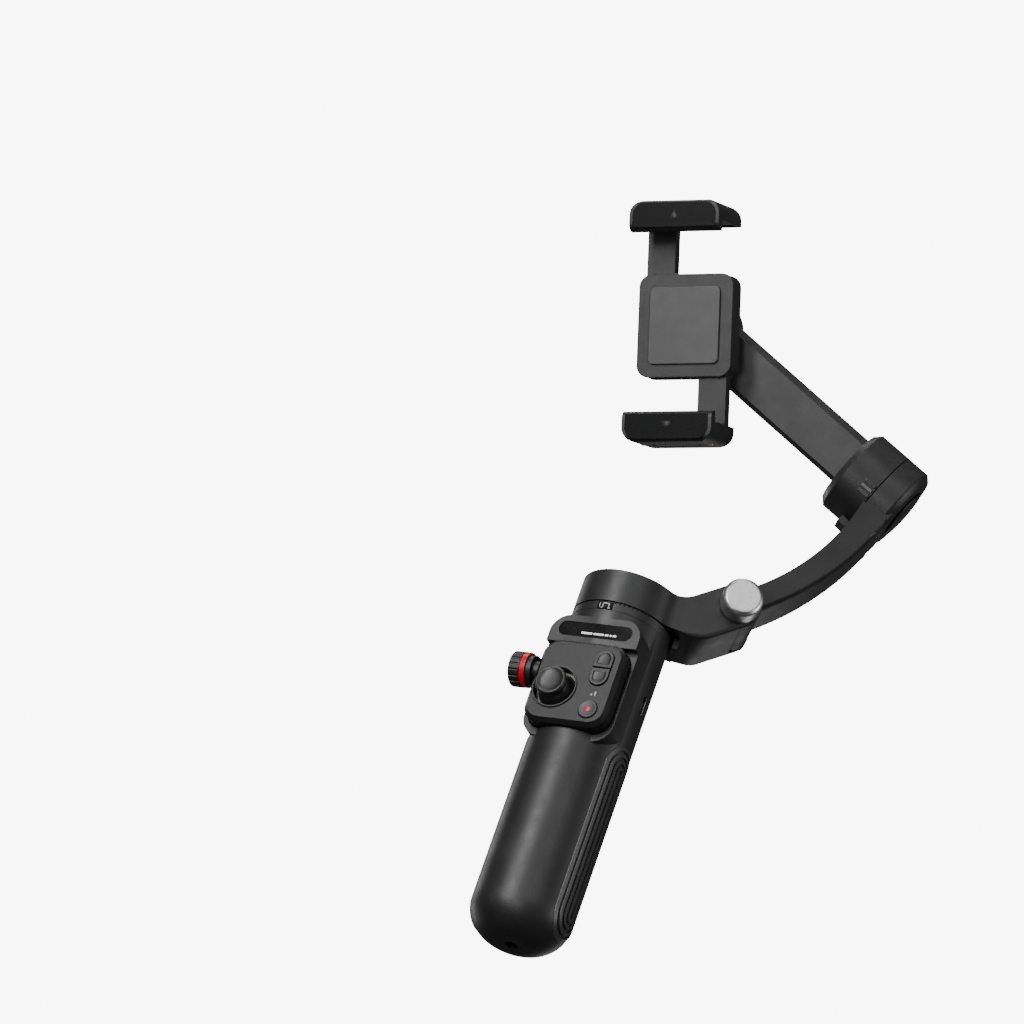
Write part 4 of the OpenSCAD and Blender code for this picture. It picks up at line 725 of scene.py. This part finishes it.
for v in bm.verts:
    reach = hypot(v.co.x, v.co.y)
    if abs(reach - knobR) < knob["sameR"] and knob["knurlFrom"] < v.co.z < knob["knurlTo"]:
        row = round((v.co.z - knob["knurlFrom"]) / knurlLength * rows)
        column = round(atan2(v.co.y, v.co.x) / pi * knob["knurlCount"])
        if (row + column) % 2:
            v.co.x *= (reach - knob["knurlDepth"]) / reach
            v.co.y *= (reach - knob["knurlDepth"]) / reach
faceProfile = [(0, knobTop - knob["faceSink"]), (knob["faceR"], knobTop - knob["faceSink"]),
               (knob["faceR"], knobTop + knob["faceEdge"]),
               (knob["faceR"] - knob["faceSoft"], knobTop + knob["faceProud"]),
               (0, knobTop + knob["faceProud"])]
# painted highlight: the knob's face gets the paler copy of its silver
finishPiece(objectFrom(spinProfile(faceProfile), "lockKnobFace", knobPlace), "knob", slotOf["lock_knob"],
            "knobFacePaintedHighlight")
knobBody = objectFrom(bm, "lockKnobBody", knobPlace)
finishPiece(knobBody, "knob", slotOf["lock_knob"], nodes=("lock_knob",))
breakEdges(knobBody, knob["edge"], **smallEdge)
print("knob knurled")

# Tilt motor's cap: a raised disc with a soft rim, on a near-black ring that is painted shade in the gap round
# the disc
disc = dict(profile=((0, 9.3), (9.55, 9.3), (9.6, 9.55), (10.0, 9.85), (10.0, 10.15), (9.8, 10.42),
                     (9.45, 10.5), (0, 10.5)),
            ringIn=9.3, ringOut=10.9, ringLow=9.35, ringHigh=9.56)
finishPiece(objectFrom(spinProfile(disc["profile"]), "tiltCapDisc", motorFrame), "arm",
            slotOf["tilt_cap_disc"], nodes=("tilt_cap_disc",))
# painted shade: a flat near-black ring in the gap between the cap and the disc
shadeRingProfile = [(disc["ringIn"], disc["ringLow"]), (disc["ringOut"], disc["ringLow"]),
               (disc["ringOut"], disc["ringHigh"]), (disc["ringIn"], disc["ringHigh"]),
               (disc["ringIn"], disc["ringLow"])]
finishPiece(objectFrom(spinProfile(shadeRingProfile), "tiltCapShadeRing", motorFrame), "arm", "gloss_black", "darkPlateAndShade")

# Tilt motor's housing: a smooth cap over each of the solid's three tick bars, paler than the housing as
# painted highlight
ticks = dict(radius=18, turnMiddle=266, step=7, low=-8.0, high=-3.0, over=0.1, width=1.5, corner=0.3,
             proud=0.82, sink=0.4, edge=0.22)
for i in (-1, 0, 1):
    outline = roundedOutline(-ticks["width"] / 2, ticks["low"] - ticks["over"], ticks["width"] / 2,
                             ticks["high"] + ticks["over"], [ticks["corner"]] * 4)
    place = tiltFrame @ turn("Z", ticks["turnMiddle"] + i * ticks["step"]) @ turn("Z", 90) @ turn("X", 90)
    tick = objectFrom(plateFrom(outline, ticks["proud"] + ticks["sink"]), "tickCap%d" % (i + 1),
                      place @ move(0, 0, ticks["radius"] - ticks["sink"]))
    finishPiece(tick, "tilt_body", "body_plastic", "tickGlossPaintedHighlight")
    breakEdges(tick, ticks["edge"], **smallEdge)

# Tilt bar: a paler panel along the middle of its outer face, a painted highlight for the light its face
# reflects
bar = dict(shift=-1.2, foot=8, low=-102, slope=3.15, half=8.5, start=15.5, end=84.2, sink=0.3,
           proud=0.12, edge=0.1)
barPlace = tiltFrame @ move(bar["shift"], bar["foot"], bar["low"]) @ turn("X", bar["slope"] + 90)
bm = plateFrom([(-bar["half"], bar["start"]), (bar["half"], bar["start"]), (bar["half"], bar["end"]),
                (-bar["half"], bar["end"])], bar["sink"] + bar["proud"])
bmesh.ops.translate(bm, verts=bm.verts, vec=(0, 0, -bar["sink"]))
# painted highlight: the panel takes the paler dock plastic so the bar's face reads as lit
barHighlightPanel = finishPiece(objectFrom(bm, "tiltBarPaintedHighlight", barPlace), "tilt_body", "dock_plastic")
breakEdges(barHighlightPanel, bar["edge"], **smallEdge)
print("motors and bar dressed")

# Jaws: a raised front plate with a triangle mark
jawPlate = dict(x0=36.9, x1=46.9, half=17.6, corner=4.8, backCorner=0.6, proud=0.22, sink=0.3, depth=24.0,
                edge=0.18, edgeSegments=3, edgeAngle=40, markX=41.6, markSize=3.6, markProud=0.05,
                mark=((-0.5, -0.62), (0.6, 0), (-0.5, 0.62)))  # shares of its size
corners = (jawPlate["backCorner"], jawPlate["corner"], jawPlate["corner"], jawPlate["backCorner"])
plateOutline = roundedOutline(jawPlate["x0"], -jawPlate["half"], jawPlate["x1"], jawPlate["half"], corners)
markOutline = [(jawPlate["markX"] + jawPlate["markSize"] * x, jawPlate["markSize"] * y)
               for x, y in jawPlate["mark"]]
plateThick = jawPlate["sink"] + jawPlate["proud"]
for name, body, flip in (("lowerJawPlate", "lower_jaw_body", 0), ("upperJawPlate", "upper_jaw_body", 180)):
    place = clampFrame @ turn("Y", flip) @ turn("X", 90) @ move(0, 0, jawPlate["depth"] - jawPlate["sink"])
    plate = objectFrom(plateFrom(plateOutline, plateThick), name, place)
    finishPiece(plate, body, "body_plastic", "jawSheen")
    breakEdges(plate, jawPlate["edge"], jawPlate["edgeSegments"], jawPlate["edgeAngle"])
    mark = objectFrom(plateFrom(markOutline, plateThick + jawPlate["markProud"]), name + "Mark", place)
    finishPiece(mark, body, "body_plastic", "softMark")
print("jaws dressed")

for node, obj in frame["nodes"].items():
    if node not in skins:
        obj.data.materials.clear()
        obj.data.materials.append(materials[slotOf[node]])
print("inner pieces finished")
